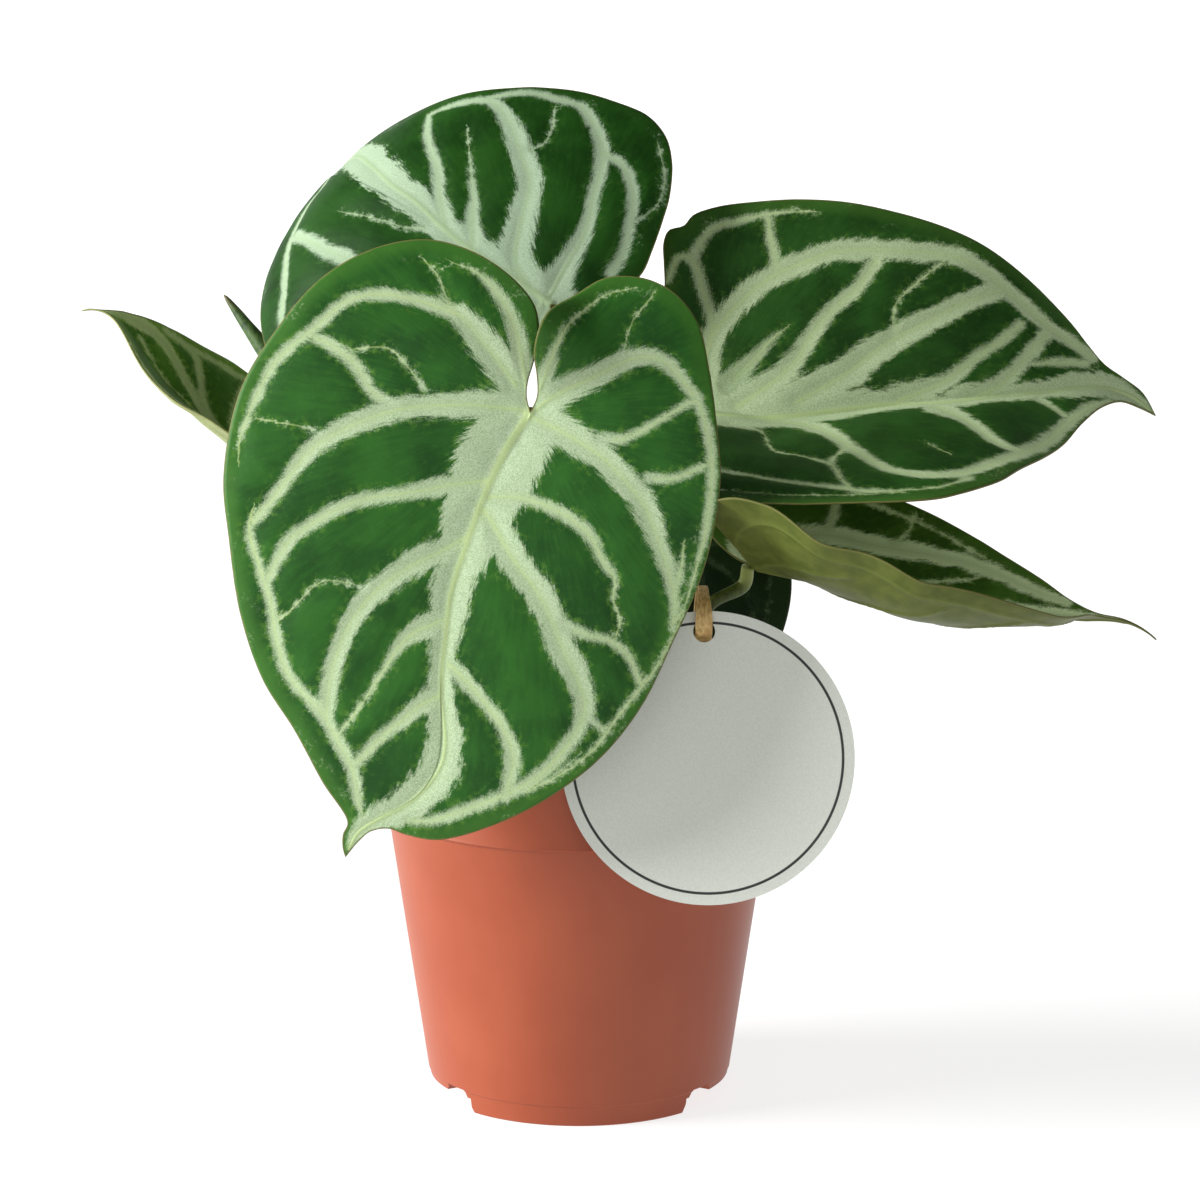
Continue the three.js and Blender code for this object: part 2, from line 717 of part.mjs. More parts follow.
// Crown: each stalk's foot stands in a plain socket.
function socket(points, radius) {
  const inward = points[1].clone().sub(points[0]).normalize();
  const bottom = points[0].clone().addScaledVector(inward, -GAP);
  const top = points[0].clone().addScaledVector(inward, 2 * SOCKET_DEPTH);
  return toSolid(tube([bottom, top], radius + GAP, PETIOLE_SIDES, 1));
}

function crown(stalks) {
  let solid = toSolid(latheUp(CROWN.profile, CROWN.segments));
  for (const stalk of stalks) {
    solid = solid.subtract(socket(stalk.points, stalk.radius));
  }
  return meshOf('crown', fromSolid(solid), CROWN_GREEN);
}

// Young leaf
function youngPoints() {
  const root = new THREE.Vector3(...YOUNG.root);
  const tip = new THREE.Vector3(...YOUNG.tip);
  const axis = tip.clone().sub(root).normalize();
  const base = tip.clone().addScaledVector(axis, -YOUNG.bladeLength);
  return { root, axis, base, stalkEnd: base.clone().addScaledVector(axis, -SEAT_GAP) };
}

function youngLeaf() {
  const { axis, base } = youngPoints();
  const mesh = meshOf('leaf_young', latheUp(YOUNG.profile, YOUNG.segments), LEAF_TOP);
  mesh.quaternion.setFromUnitVectors(new THREE.Vector3(0, 0, 1), axis);
  mesh.position.copy(base);
  return mesh;
}

function youngStalk() {
  const { root, stalkEnd } = youngPoints();
  return meshOf('petiole_young', tube([root, stalkEnd], YOUNG.stalkRadius, PETIOLE_SIDES, 2), STALK);
}

// Tag and strap
function tag() {
  const face = new THREE.Shape();
  face.absarc(0, 0, TAG.radius, 0, 2 * Math.PI, false);
  const hole = new THREE.Path();
  hole.absarc(TAG.holeOffset[0], TAG.holeOffset[1], TAG.hole, 0, 2 * Math.PI, true);
  face.holes.push(hole);
  const geometry = new THREE.ExtrudeGeometry(face, {
    depth: TAG.thickness,
    bevelEnabled: false,
    curveSegments: TAG.segments / 2,
  });
  geometry.translate(0, 0, -TAG.thickness / 2);
  const mesh = meshOf('tag', geometry, CARD);
  mesh.rotation.x = radians(90 - TAG.lean);
  mesh.position.set(...TAG.centre);
  return mesh;
}

function strap() {
  const half = STRAP.thickness / 2;
  const corners = STRAP.loop.map(([y, z]) => new THREE.Vector3(y, z, 0));
  const line = new THREE.CatmullRomCurve3(corners, true, 'centripetal');
  const offset = (distance) => {
    const points = [];
    for (let i = 0; i < STRAP.samples; i += 1) {
      const at = line.getPointAt(i / STRAP.samples);
      const along = line.getTangentAt(i / STRAP.samples);
      points.push(new THREE.Vector2(at.x - along.y * distance, at.y + along.x * distance));
    }
    return points;
  };
  const band = new THREE.Shape(offset(-half));
  band.holes.push(new THREE.Path(offset(half)));
  const geometry = new THREE.ExtrudeGeometry(band, { depth: STRAP.width, bevelEnabled: false });
  const mesh = meshOf('strap', geometry, TAN);
  const [x, y, z] = [new THREE.Vector3(1, 0, 0), new THREE.Vector3(0, 1, 0), new THREE.Vector3(0, 0, 1)];
  mesh.quaternion.setFromRotationMatrix(new THREE.Matrix4().makeBasis(y, z, x));
  mesh.position.x = STRAP.left;
  return mesh;
}

function plant() {
  const group = new THREE.Group();
  for (const leaf of Object.values(LEAVES)) {
    leaf.axes = leafAxes(leaf);
  }
  const young = youngPoints();
  const stalks = [{ points: [young.root, young.stalkEnd], radius: YOUNG.stalkRadius }];
  for (const spec of Object.values(PETIOLES)) {
    stalks.push({ points: petiolePoints(spec), radius: spec.radius });
  }
  group.add(pot(), soil(), crown(stalks));
  for (const name of Object.keys(PETIOLES)) {
    group.add(petiole(name));
  }
  for (const name of Object.keys(LEAVES)) {
    group.add(blade(name));
  }
  group.add(youngStalk(), youngLeaf(), tag(), strap());
  return group;
}

export default plant();
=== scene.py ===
"""Dresses the potted anthurium: silver-veined blades, stalks, crown, peat, pot, card and strap.

Sizes are in millimetres in the classes below and are scaled to metres where a mesh is finished.
"""

import logging
import math
import random
from dataclasses import dataclass
from enum import Enum

import bmesh
import bpy
import numpy as np
from mathutils import Matrix, Vector, noise

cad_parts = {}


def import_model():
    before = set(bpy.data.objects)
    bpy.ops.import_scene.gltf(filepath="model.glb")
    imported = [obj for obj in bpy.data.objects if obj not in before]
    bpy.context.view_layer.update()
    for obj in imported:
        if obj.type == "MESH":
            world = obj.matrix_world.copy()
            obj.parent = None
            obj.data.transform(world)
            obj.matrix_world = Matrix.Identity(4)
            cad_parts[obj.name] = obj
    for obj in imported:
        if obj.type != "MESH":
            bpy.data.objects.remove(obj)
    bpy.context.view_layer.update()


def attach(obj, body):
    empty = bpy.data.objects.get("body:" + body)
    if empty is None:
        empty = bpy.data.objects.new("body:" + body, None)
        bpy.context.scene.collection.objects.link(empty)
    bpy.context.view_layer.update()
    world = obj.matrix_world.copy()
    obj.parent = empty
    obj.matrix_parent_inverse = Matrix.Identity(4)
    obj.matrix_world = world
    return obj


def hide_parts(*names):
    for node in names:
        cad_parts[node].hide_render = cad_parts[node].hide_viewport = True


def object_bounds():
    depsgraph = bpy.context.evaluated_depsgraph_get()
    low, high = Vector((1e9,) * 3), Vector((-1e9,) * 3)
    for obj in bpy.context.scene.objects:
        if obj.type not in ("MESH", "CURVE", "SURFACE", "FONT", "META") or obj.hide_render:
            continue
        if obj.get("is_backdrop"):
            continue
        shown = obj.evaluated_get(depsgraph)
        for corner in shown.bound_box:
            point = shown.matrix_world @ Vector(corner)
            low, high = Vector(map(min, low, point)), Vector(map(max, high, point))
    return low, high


LOG = logging.getLogger("plant")
MM = 0.001
BODY = "root"
RAY_RADIUS = 45.0
WHITE = (1, 1, 1, 1)
HALF_TURN = math.pi
QUARTER_TURN = math.pi / 2
FULL_TURN = 2 * math.pi
LEAST_LENGTH = 1e-9
LEAST_TURN = 1e-7
EVEN = (1.0, 1.0, 1.0)

Pair = tuple[float, float]
Triple = tuple[float, float, float]
Colour = tuple[float, float, float, float]
Socket = bpy.types.NodeSocket
Material = bpy.types.Material
Piece = bpy.types.Object
Shell = bmesh.types.BMesh
Ring = tuple[Matrix, float, float]
Rows = tuple[tuple[float, ...], ...]


def linear(value: float) -> float:
    """Turns a screen level of 0 to 255 into a linear one of 0 to 1."""
    share = value / 255
    return share / 12.92 if share <= 0.04045 else ((share + 0.055) / 1.055) ** 2.4


def srgb(colour: Triple) -> Colour:
    """Turns a screen colour into a linear colour with alpha."""
    return linear(colour[0]), linear(colour[1]), linear(colour[2]), 1.0


class Slot(Enum):
    """The finish slots, which settle() takes but does not read."""

    TERRACOTTA = "terracotta"
    PEAT = "peat"
    CROWN = "crown"
    STALK = "stalk"
    LEAF = "leaf"
    YOUNG_LEAF = "young_leaf"
    CARD = "card"
    STRAP = "strap"


@dataclass(frozen=True)
class Grain:
    """Noise that a finish shows, with features 1 / scale wide.

    Attributes:
        scale: How fine it is.
        detail: How many finer layers it has.
        rough: How strong those are.
        stretch: What the place is multiplied by along X, Y and Z.
    """

    scale: float
    detail: float = 2.0
    rough: float = 0.5
    stretch: Triple = EVEN


# Node graphs
class Graph:
    """A material's node graph, with short calls for the nodes that the finishes use."""

    def __init__(self, name: str) -> None:
        """Starts a material that holds only a shader and its output.

        Args:
            name: The material's name.
        """
        self.material = bpy.data.materials.new(name)
        self.material.use_nodes = True
        self.tree = self.material.node_tree
        self.tree.nodes.clear()
        self.shader = self.tree.nodes.new("ShaderNodeBsdfPrincipled")
        output = self.tree.nodes.new("ShaderNodeOutputMaterial")
        self.tree.links.new(self.shader.outputs[0], output.inputs["Surface"])

    def put(self, socket: Socket, value: object) -> None:
        """Links a socket to another, or sets it to a plain value.

        Args:
            socket: The socket that is filled.
            value: A socket, a plain value, or None to leave it alone.
        """
        if isinstance(value, Socket):
            self.tree.links.new(value, socket)
        elif value is not None:
            socket.default_value = value

    def node(self, kind: str, values: tuple = (), **settings: object) -> bpy.types.Node:
        """Adds a node.

        Args:
            kind: Blender's name of the node.
            values: What its inputs take, in their order; None leaves one alone.
            **settings: The node's own settings.

        Returns:
            The node.
        """
        made = self.tree.nodes.new(kind)
        for key, value in settings.items():
            setattr(made, key, value)
        for socket, value in zip(made.inputs, values):
            self.put(socket, value)
        return made

    def surface(self, **values: object) -> None:
        """Sets the shader's inputs, named with underscores for spaces."""
        for key, value in values.items():
            self.put(self.shader.inputs[key.replace("_", " ")], value)

    def attribute(self, name: str) -> Socket:
        """Reads a number that the mesh carries at each point."""
        return self.node("ShaderNodeAttribute", attribute_name=name).outputs["Fac"]

    def place(self) -> Socket:
        """Gives the place on the object, in millimetres.

        Returns:
            The place's socket.
        """
        coordinates = self.node("ShaderNodeTexCoord").outputs["Object"]
        scaled = self.node("ShaderNodeVectorMath", (coordinates,), operation="SCALE")
        scaled.inputs["Scale"].default_value = 1 / MM
        return scaled.outputs[0]

    def math(self, operation: str, *values: object) -> Socket:
        """Works out one number from others."""
        return self.node("ShaderNodeMath", values, operation=operation).outputs[0]

    def times(self, first: object, second: object) -> Socket:
        """Multiplies two numbers."""
        return self.math("MULTIPLY", first, second)

    def plus(self, first: object, second: object) -> Socket:
        """Adds two numbers."""
        return self.math("ADD", first, second)

    def minus(self, first: object, second: object) -> Socket:
        """Takes the second number from the first."""
        return self.math("SUBTRACT", first, second)

    def size(self, value: object) -> Socket:
        """Gives a number without its sign."""
        return self.math("ABSOLUTE", value)

    def combine(self, *values: object) -> Socket:
        """Makes a vector of up to three numbers."""
        return self.node("ShaderNodeCombineXYZ", values).outputs[0]

    def separate(self, vector: object) -> bpy.types.bpy_prop_collection:
        """Splits a vector into its three numbers."""
        return self.node("ShaderNodeSeparateXYZ", (vector,)).outputs

    def polar(self, across: float, along: float, layer: float | None = None) -> Socket:
        """Gives a place in rays from the stalk's joint, scaled round and out; a layer sets patterns off."""
        ray, far = self.times(self.attribute("ray"), across), self.times(self.attribute("far"), along)
        return self.combine(ray, far, layer)

    def ramp(self, value: object, low: float, high: float) -> Socket:
        """Rises smoothly from 0 at low to 1 at high."""
        made = self.node("ShaderNodeMapRange", (value, low, high), interpolation_type="SMOOTHSTEP")
        return made.outputs[0]

    def grain(self, place: Socket, grain: Grain) -> Socket:
        """Gives even noise about 0.5.

        Args:
            place: Where it is read.
            grain: What the noise is like.

        Returns:
            The noise's socket.
        """
        if grain.stretch != EVEN:
            values = (place, grain.stretch)
            place = self.node("ShaderNodeVectorMath", values, operation="MULTIPLY").outputs[0]
        made = self.node("ShaderNodeTexNoise")
        self.put(made.inputs["Vector"], place)
        made.inputs["Scale"].default_value = grain.scale
        made.inputs["Detail"].default_value = grain.detail
        made.inputs["Roughness"].default_value = grain.rough
        return made.outputs[0]

    def swing(self, place: Socket, grain: Grain) -> Socket:
        """Gives even noise about 0."""
        return self.minus(self.grain(place, grain), 0.5)

    def mix(self, share: object, first: object, second: object) -> Socket:
        """Blends two colours.

        Args:
            share: How much of the second colour shows.
            first: A socket or a screen colour.
            second: The same.

        Returns:
            The blend's socket.
        """
        made = self.node("ShaderNodeMix", (share,), data_type="RGBA")
        inputs = [socket for socket in made.inputs if socket.type == "RGBA"]
        for socket, colour in zip(inputs, (first, second)):
            self.put(socket, colour if isinstance(colour, Socket) else srgb(colour))
        return next(socket for socket in made.outputs if socket.type == "RGBA")

    def bump(self, height: object, strength: float, distance: float) -> None:
        """Roughens the shader's normal.

        Args:
            height: The relief, in units of distance.
            strength: How much of it shows.
            distance: The depth of one unit, in millimetres.
        """
        made = self.node("ShaderNodeBump")
        for key, value in (("Strength", strength), ("Distance", distance * MM), ("Height", height)):
            self.put(made.inputs[key], value)
        self.surface(Normal=made.outputs[0])


# Finishes
@dataclass(frozen=True)
class LeafUpperFinish:
    """Deep green with feathered, grainy silver bands, pale ridges on the veins and a thin tan edge."""

    name: str = "leaf_upper"
    dark: Triple = (42, 94, 30)
    deep: Triple = (26, 68, 22)
    fresh: Triple = (64, 112, 38)
    moss: Triple = (98, 140, 52)
    silver: Triple = (140, 165, 122)
    silver_light: Triple = (185, 202, 168)
    silver_warm: Triple = (167, 190, 133)
    ridge: Triple = (180, 200, 132)
    edge: Triple = (104, 104, 58)
    rim_share: float = 0.55
    gloss: float = 0.16
    slim_band: float = 1.5
    slim_loss: float = 1.2
    wide_share: float = 0.8
    widest: float = 6.0
    teeth: Pair = (1.9, 0.3)
    tooth_depth: Pair = (1.15, 0.6)
    comb: Pair = (0.42, 0.11)
    comb_layer: float = 4.0
    comb_least: float = 0.4
    teeth_grain: Grain = Grain(1.0, 4.0, 0.7)
    comb_grain: Grain = Grain(1.0)
    speck_grain: Grain = Grain(2.4, 3.0, 0.7)
    speck_depth: float = 2.9
    gap_grain: Grain = Grain(0.42, 3.0, 0.7)
    gap_level: float = 0.58
    gap_depth: float = 7.0
    streaks: Pair = (0.9, 0.1)
    streak_layer: float = 9.0
    streak_grain: Grain = Grain(1.0, 4.0, 0.65)
    streak_weight: float = 0.4
    cloud_grain: Grain = Grain(0.06)
    cloud_weight: float = 0.8
    depth_span: Pair = (0.42, 0.78)
    mottle_grain: Grain = Grain(0.55, 3.0, 0.6)
    fresh_span: Pair = (0.5, 0.8)
    fresh_share: float = 0.25
    rim_span: Pair = (6.5, 1.0)
    fringe_span: Pair = (-2.8, 0.0)
    moss_span: Pair = (0.45, 0.66)
    moss_share: float = 0.5
    fleck_rim: Pair = (8.0, 4.0)
    patch_grain: Grain = Grain(0.13)
    patch_span: Pair = (0.56, 0.7)
    fleck_grain: Grain = Grain(0.9, 3.0, 0.7)
    fleck_span: Pair = (0.5, 0.66)
    fleck_share: float = 0.55
    band_span: Pair = (-0.8, 1.1)
    silver_grain: Grain = Grain(2.5, 3.0, 0.7)
    silver_span: Pair = (0.3, 0.66)
    warm_span: Pair = (2.4, 0.5)
    warm_near: Pair = (0.1, 0.6)
    warm_share: float = 0.3
    line_span: Pair = (-0.3, 0.25)
    line_near: Pair = (0.2, 0.8)
    line_share: float = 0.55
    edge_span: Pair = (0.6, 0.2)
    rough: float = 0.5
    rough_gain: float = 0.1
    relief: Grain = Grain(1.6, 3.0)
    silver_relief: float = 0.4
    relief_strength: float = 0.35
    relief_depth: float = 0.12

    def band(self, g: Graph, place: Socket) -> Socket:
        """Works out how far inside the ragged silver bands a point lies.

        Args:
            g: The graph to add to.
            place: The place on the object.

        Returns:
            Millimetres inside the band; less than 0 outside.
        """
        width = g.attribute("band")
        slack = g.math("MAXIMUM", g.minus(self.slim_band, width), 0.0)
        off = g.minus(g.attribute("reach"), g.times(slack, self.slim_loss))
        reach = g.math("MAXIMUM", g.size(g.attribute("across")), off)
        fine = g.swing(g.polar(*self.teeth), self.teeth_grain)
        coarse = g.swing(g.polar(*self.comb, self.comb_layer), self.comb_grain)
        wide = g.math("MINIMUM", g.times(width, self.wide_share), self.widest)
        ragged = g.times(fine, g.math("MULTIPLY_ADD", wide, *self.tooth_depth))
        broad = g.times(coarse, g.plus(wide, self.comb_least))
        speck = g.times(g.swing(place, self.speck_grain), self.speck_depth)
        gaps = g.minus(g.grain(place, self.gap_grain), self.gap_level)
        inside = g.plus(g.minus(width, reach), g.times(g.times(gaps, self.gap_depth), slack))
        return g.plus(inside, g.plus(speck, g.plus(ragged, broad)))

    def ground(self, g: Graph, place: Socket, inside: Socket) -> Socket:
        """Colours the green between the bands.

        Args:
            g: The graph to add to.
            place: The place on the object.
            inside: What band() gave.

        Returns:
            The green's socket.
        """
        edge = g.attribute("edge")
        mottle = g.grain(place, self.mottle_grain)
        streak = g.grain(g.polar(*self.streaks, self.streak_layer), self.streak_grain)
        cloud = g.times(g.grain(place, self.cloud_grain), self.cloud_weight)
        depth = g.math("MULTIPLY_ADD", streak, self.streak_weight, cloud)
        colour = g.mix(g.ramp(depth, *self.depth_span), self.deep, self.dark)
        colour = g.mix(g.times(g.ramp(mottle, *self.fresh_span), self.fresh_share), colour, self.fresh)
        colour = g.mix(g.times(g.ramp(edge, *self.rim_span), self.rim_share), colour, self.fresh)
        fringe = g.times(g.ramp(inside, *self.fringe_span), g.ramp(mottle, *self.moss_span))
        colour = g.mix(g.times(fringe, self.moss_share), colour, self.moss)
        patch = g.ramp(g.grain(place, self.patch_grain), *self.patch_span)
        fleck = g.ramp(g.grain(place, self.fleck_grain), *self.fleck_span)
        fleck = g.times(g.times(g.ramp(edge, *self.fleck_rim), patch), fleck)
        return g.mix(g.times(fleck, self.fleck_share), colour, self.silver)

    def build(self) -> Material:
        """Makes the material.

        Returns:
            The material.
        """
        g = Graph(self.name)
        place = g.place()
        inside = self.band(g, place)
        band = g.times(g.ramp(inside, *self.band_span), g.attribute("shine"))
        grain = g.grain(place, self.silver_grain)
        off_ridge = g.size(g.attribute("ridge_across"))
        near = g.attribute("ridge_near")
        silver = g.mix(g.ramp(grain, *self.silver_span), self.silver, self.silver_light)
        warm = g.times(g.ramp(off_ridge, *self.warm_span), g.ramp(near, *self.warm_near))
        silver = g.mix(g.times(warm, self.warm_share), silver, self.silver_warm)
        colour = g.mix(band, self.ground(g, place, inside), silver)
        line = g.ramp(g.minus(g.attribute("ridge"), off_ridge), *self.line_span)
        line = g.times(line, g.ramp(near, *self.line_near))
        colour = g.mix(g.times(line, self.line_share), colour, self.ridge)
        colour = g.mix(g.ramp(g.attribute("edge"), *self.edge_span), colour, self.edge)
        rough = g.math("MULTIPLY_ADD", band, self.rough_gain, self.rough)
        g.surface(Base_Color=colour, Roughness=rough, Specular_IOR_Level=self.gloss)
        relief = g.plus(g.grain(place, self.relief), g.times(grain, self.silver_relief))
        g.bump(relief, self.relief_strength, self.relief_depth)
        return g.material


FULL_TONE = LeafUpperFinish()
# The right blade's copy of the leaf finish, retuned for how that blade is lit: its lighter silver is painted
# light and its darker green is painted shade.
RIGHT_LIGHT_SHADE_TONE = LeafUpperFinish(
    name="leaf_right_painted_light_shade",
    dark=(38, 80, 26),
    deep=(24, 58, 15),
    fresh=(66, 104, 38),
    moss=(84, 122, 44),
    silver=(152, 176, 128),
    silver_light=(196, 213, 172),
    rim_share=0.5,
    gloss=0.12,
)
# The back blade's copy of the leaf finish, darker green for the shade that its upper half lies in: painted
# shade.
BACK_SHADE_TONE = LeafUpperFinish(
    name="leaf_back_painted_shade",
    dark=(30, 70, 19),
    deep=(18, 50, 12),
    fresh=(44, 82, 26),
    moss=(66, 104, 42),
    silver=(140, 162, 132),
    silver_light=(168, 188, 160),
    silver_warm=(150, 172, 132),
    ridge=(150, 172, 126),
    rim_share=0.25,
    gloss=0.06,
)
# The low blade's copy of the leaf finish, lighter and paler so that it looks lit where it lies under the
# right blade: painted light.
LOW_LIGHT_TONE = LeafUpperFinish(
    name="leaf_low_painted_light",
    dark=(72, 112, 38),
    deep=(50, 84, 26),
    fresh=(92, 130, 50),
    moss=(110, 144, 58),
    silver=(206, 230, 166),
    silver_light=(224, 240, 194),
    rim_share=0.3,
    gloss=0.08,
)
# The left blade's copy of the leaf finish: the yellower green of a younger blade, made lighter still as
# painted light.
TENDER_LIGHT_TONE = LeafUpperFinish(
    name="leaf_tender_painted_light",
    dark=(90, 140, 44),
    deep=(64, 108, 30),
    fresh=(140, 178, 72),
    moss=(148, 184, 82),
    silver=(202, 226, 142),
    silver_light=(222, 238, 172),
    gloss=0.05,
)
# The shade blade's copy of the leaf finish, near-black green with dark ridges and edge where it hangs in
# shadow behind the card: painted shade.
PAINTED_SHADE_TONE = LeafUpperFinish(
    name="leaf_painted_shade",
    dark=(20, 42, 14),
    deep=(12, 28, 8),
    fresh=(30, 52, 18),
    moss=(36, 60, 22),
    ridge=(32, 54, 22),
    edge=(52, 56, 28),
)


@dataclass(frozen=True)
class GrainFinish:
    """Two colours in clouds, with a gloss and a fine relief.

    Attributes:
        name: The material's name.
        low: Screen colour where the cloud is thin.
        high: Screen colour where it is thick.
        cloud: The noise that blends the two.
        span: Levels of the cloud where the blend starts and ends.
        climb: What each millimetre of height adds to the cloud.
        rough: Roughness of the surface.
        rough_gain: What the cloud adds to it.
        gloss: How strongly the surface mirrors.
        relief: The noise of the relief, or None where the cloud is the relief.
        relief_strength: How much of the relief shows.
        relief_depth: Its depth, in millimetres.
    """

    name: str
    low: Triple
    high: Triple
    cloud: Grain
    span: Pair = (0.35, 0.65)
    climb: float = 0.0
    rough: float = 0.5
    rough_gain: float = 0.0
    gloss: float = 0.3
    relief: Grain | None = None
    relief_strength: float = 0.3
    relief_depth: float = 0.2

    def coat(self, g: Graph, place: Socket, colour: Socket) -> Socket:
        """Adds what lies over the clouds to their colour; here nothing."""
        return colour

    def height(self, g: Graph, place: Socket, cloud: Socket) -> Socket:
        """Gives the relief: its own noise, or the cloud."""
        return cloud if self.relief is None else g.grain(place, self.relief)

    def build(self) -> Material:
        """Makes the material.

        Returns:
            The material.
        """
        g = Graph(self.name)
        place = g.place()
        cloud = g.grain(place, self.cloud)
        blend, rough = cloud, self.rough
        if self.climb:
            blend = g.math("MULTIPLY_ADD", g.separate(place)[2], self.climb, cloud)
        if self.rough_gain:
            rough = g.math("MULTIPLY_ADD", cloud, self.rough_gain, self.rough)
        colour = self.coat(g, place, g.mix(g.ramp(blend, *self.span), self.low, self.high))
        g.surface(Base_Color=colour, Roughness=rough, Specular_IOR_Level=self.gloss)
        g.bump(self.height(g, place, cloud), self.relief_strength, self.relief_depth)
        return g.material


@dataclass(frozen=True)
class LeafUnderFinish(GrainFinish):
    """Pale olive green with lighter ribs."""

    name: str = "leaf_under"
    low: Triple = (71, 81, 29)
    high: Triple = (87, 95, 38)
    rib: Triple = (101, 110, 50)
    edge: Triple = (98, 100, 52)
    cloud: Grain = Grain(0.2, 4.0, 0.6)
    span: Pair = (0.3, 0.72)
    gloss: float = 0.2
    relief: Grain | None = Grain(1.2, 3.0)
    relief_depth: float = 0.15
    rib_span: Pair = (-0.9, 0.5)
    rib_near: Pair = (0.2, 0.8)
    rib_share: float = 0.6
    edge_span: Pair = (0.8, 0.2)

    def coat(self, g: Graph, place: Socket, colour: Socket) -> Socket:
        """Adds the ribs and the edge.

        Args:
            g: The graph to add to.
            place: Not used.
            colour: The clouds' colour.

        Returns:
            The finished colour.
        """
        shown = g.minus(g.attribute("ridge"), g.size(g.attribute("ridge_across")))
        rib = g.times(g.ramp(shown, *self.rib_span), g.ramp(g.attribute("ridge_near"), *self.rib_near))
        colour = g.mix(g.times(rib, self.rib_share), colour, self.rib)
        return g.mix(g.ramp(g.attribute("edge"), *self.edge_span), colour, self.edge)


OLIVE_UNDER = LeafUnderFinish()
# The left blade's underside, paler than the others to stand in for light falling on and through it: painted
# light.
LIT_UNDER = LeafUnderFinish(
    name="leaf_under_painted_light",
    low=(144, 156, 98),
    high=(158, 168, 112),
    rib=(168, 176, 124),
    edge=(146, 150, 96),
)


@dataclass(frozen=True)
class StalkFinish(GrainFinish):
    """Olive stalk, streaked lengthways, redder at its foot."""

    name: str = "stalk"
    low: Triple = (72, 86, 30)
    high: Triple = (54, 66, 22)
    foot: Triple = (104, 78, 50)
    joint: Triple = (128, 138, 72)
    cloud: Grain = Grain(1.4, stretch=(1.0, 1.0, 0.08))
    span: Pair = (0.35, 0.7)
    rough: float = 0.42
    foot_span: Pair = (0.22, 0.0)
    joint_span: Pair = (0.9, 0.97)

    def coat(self, g: Graph, place: Socket, colour: Socket) -> Socket:
        """Adds the foot's and the joint's colours.

        Args:
            g: The graph to add to.
            place: Not used.
            colour: The streaks' colour.

        Returns:
            The finished colour.
        """
        grown = g.attribute("grown")
        colour = g.mix(g.ramp(grown, *self.foot_span), colour, self.foot)
        return g.mix(g.ramp(grown, *self.joint_span), colour, self.joint)


@dataclass(frozen=True)
class YoungFinish(GrainFinish):
    """Furled leaf: streaked olive green with a reddish tip."""

    name: str = "young_leaf"
    low: Triple = (40, 68, 28)
    high: Triple = (70, 98, 44)
    tip: Triple = (96, 76, 46)
    cloud: Grain = Grain(0.5, 3.0)
    rough: float = 0.45
    gloss: float = 0.4
    relief_depth: float = 0.3
    tip_span: Pair = (226, 236)

    def coat(self, g: Graph, place: Socket, colour: Socket) -> Socket:
        """Adds the tip's colour to the streaks."""
        return g.mix(g.ramp(g.separate(place)[2], *self.tip_span), colour, self.tip)


@dataclass(frozen=True)
class PeatFinish(GrainFinish):
    """Dark moist peat with paler fibres."""

    name: str = "peat"
    low: Triple = (34, 24, 18)
    high: Triple = (66, 47, 34)
    pale: Triple = (112, 86, 62)
    cloud: Grain = Grain(0.5, 4.0, 0.7)
    span: Pair = (0.35, 0.62)
    rough: float = 0.95
    gloss: float = 0.15
    relief_strength: float = 0.8
    relief_depth: float = 0.7
    fibre: Grain = Grain(1.4, 2.0, 0.6)
    fibre_span: Pair = (0.62, 0.74)

    def coat(self, g: Graph, place: Socket, colour: Socket) -> Socket:
        """Adds the fibres to the colour."""
        return g.mix(g.ramp(g.grain(place, self.fibre), *self.fibre_span), colour, self.pale)

    def height(self, g: Graph, place: Socket, cloud: Socket) -> Socket:
        """Adds the fibres to the relief."""
        return g.plus(cloud, g.grain(place, self.fibre))


@dataclass(frozen=True)
class CardFinish(GrainFinish):
    """Pale card with a fine fibre and, on its front, one dark ring line."""

    name: str = "card"
    low: Triple = (211, 214, 204)
    high: Triple = (219, 222, 213)
    ink: Triple = (52, 54, 52)
    cloud: Grain = Grain(1.8, 4.0, 0.65)
    rough: float = 0.62
    relief_strength: float = 0.2
    relief_depth: float = 0.08
    ring: bool = False
    centre: Triple = (0, 0, 0)
    ring_radius: float = 38.0
    ring_span: Pair = (0.46, 0.3)

    def coat(self, g: Graph, place: Socket, colour: Socket) -> Socket:
        """Adds the ring line, where the face has one.

        Args:
            g: The graph to add to.
            place: The place on the object.
            colour: The paper's colour.

        Returns:
            The finished colour.
        """
        if not self.ring:
            return colour
        gap = g.node("ShaderNodeVectorMath", (place, self.centre), operation="DISTANCE")
        off = g.size(g.minus(gap.outputs["Value"], self.ring_radius))
        return g.mix(g.ramp(off, *self.ring_span), colour, self.ink)


POT_FINISH = GrainFinish(
    name="terracotta",
    low=(150, 68, 38),
    high=(156, 74, 44),
    cloud=Grain(0.03, 3.0),
    rough=0.36,
    rough_gain=0.1,
    gloss=0.4,
    relief=Grain(1.1),
    relief_strength=0.25,
    relief_depth=0.06,
)
CROWN_FINISH = GrainFinish(
    name="crown",
    low=(96, 104, 52),
    high=(92, 68, 44),
    cloud=Grain(0.25, 4.0, 0.6),
    span=(0.38, 0.6),
    rough=0.7,
    relief=Grain(0.9, 4.0),
    relief_strength=0.6,
    relief_depth=0.5,
)
SHEATH_FINISH = GrainFinish(
    name="sheath",
    low=(112, 118, 62),
    high=(128, 96, 62),
    cloud=Grain(2.0, 3.0, stretch=(1.0, 1.0, 0.1)),
    span=(6.9, 7.8),
    climb=0.06,
    rough=0.65,
    relief_strength=0.5,
    relief_depth=0.25,
)
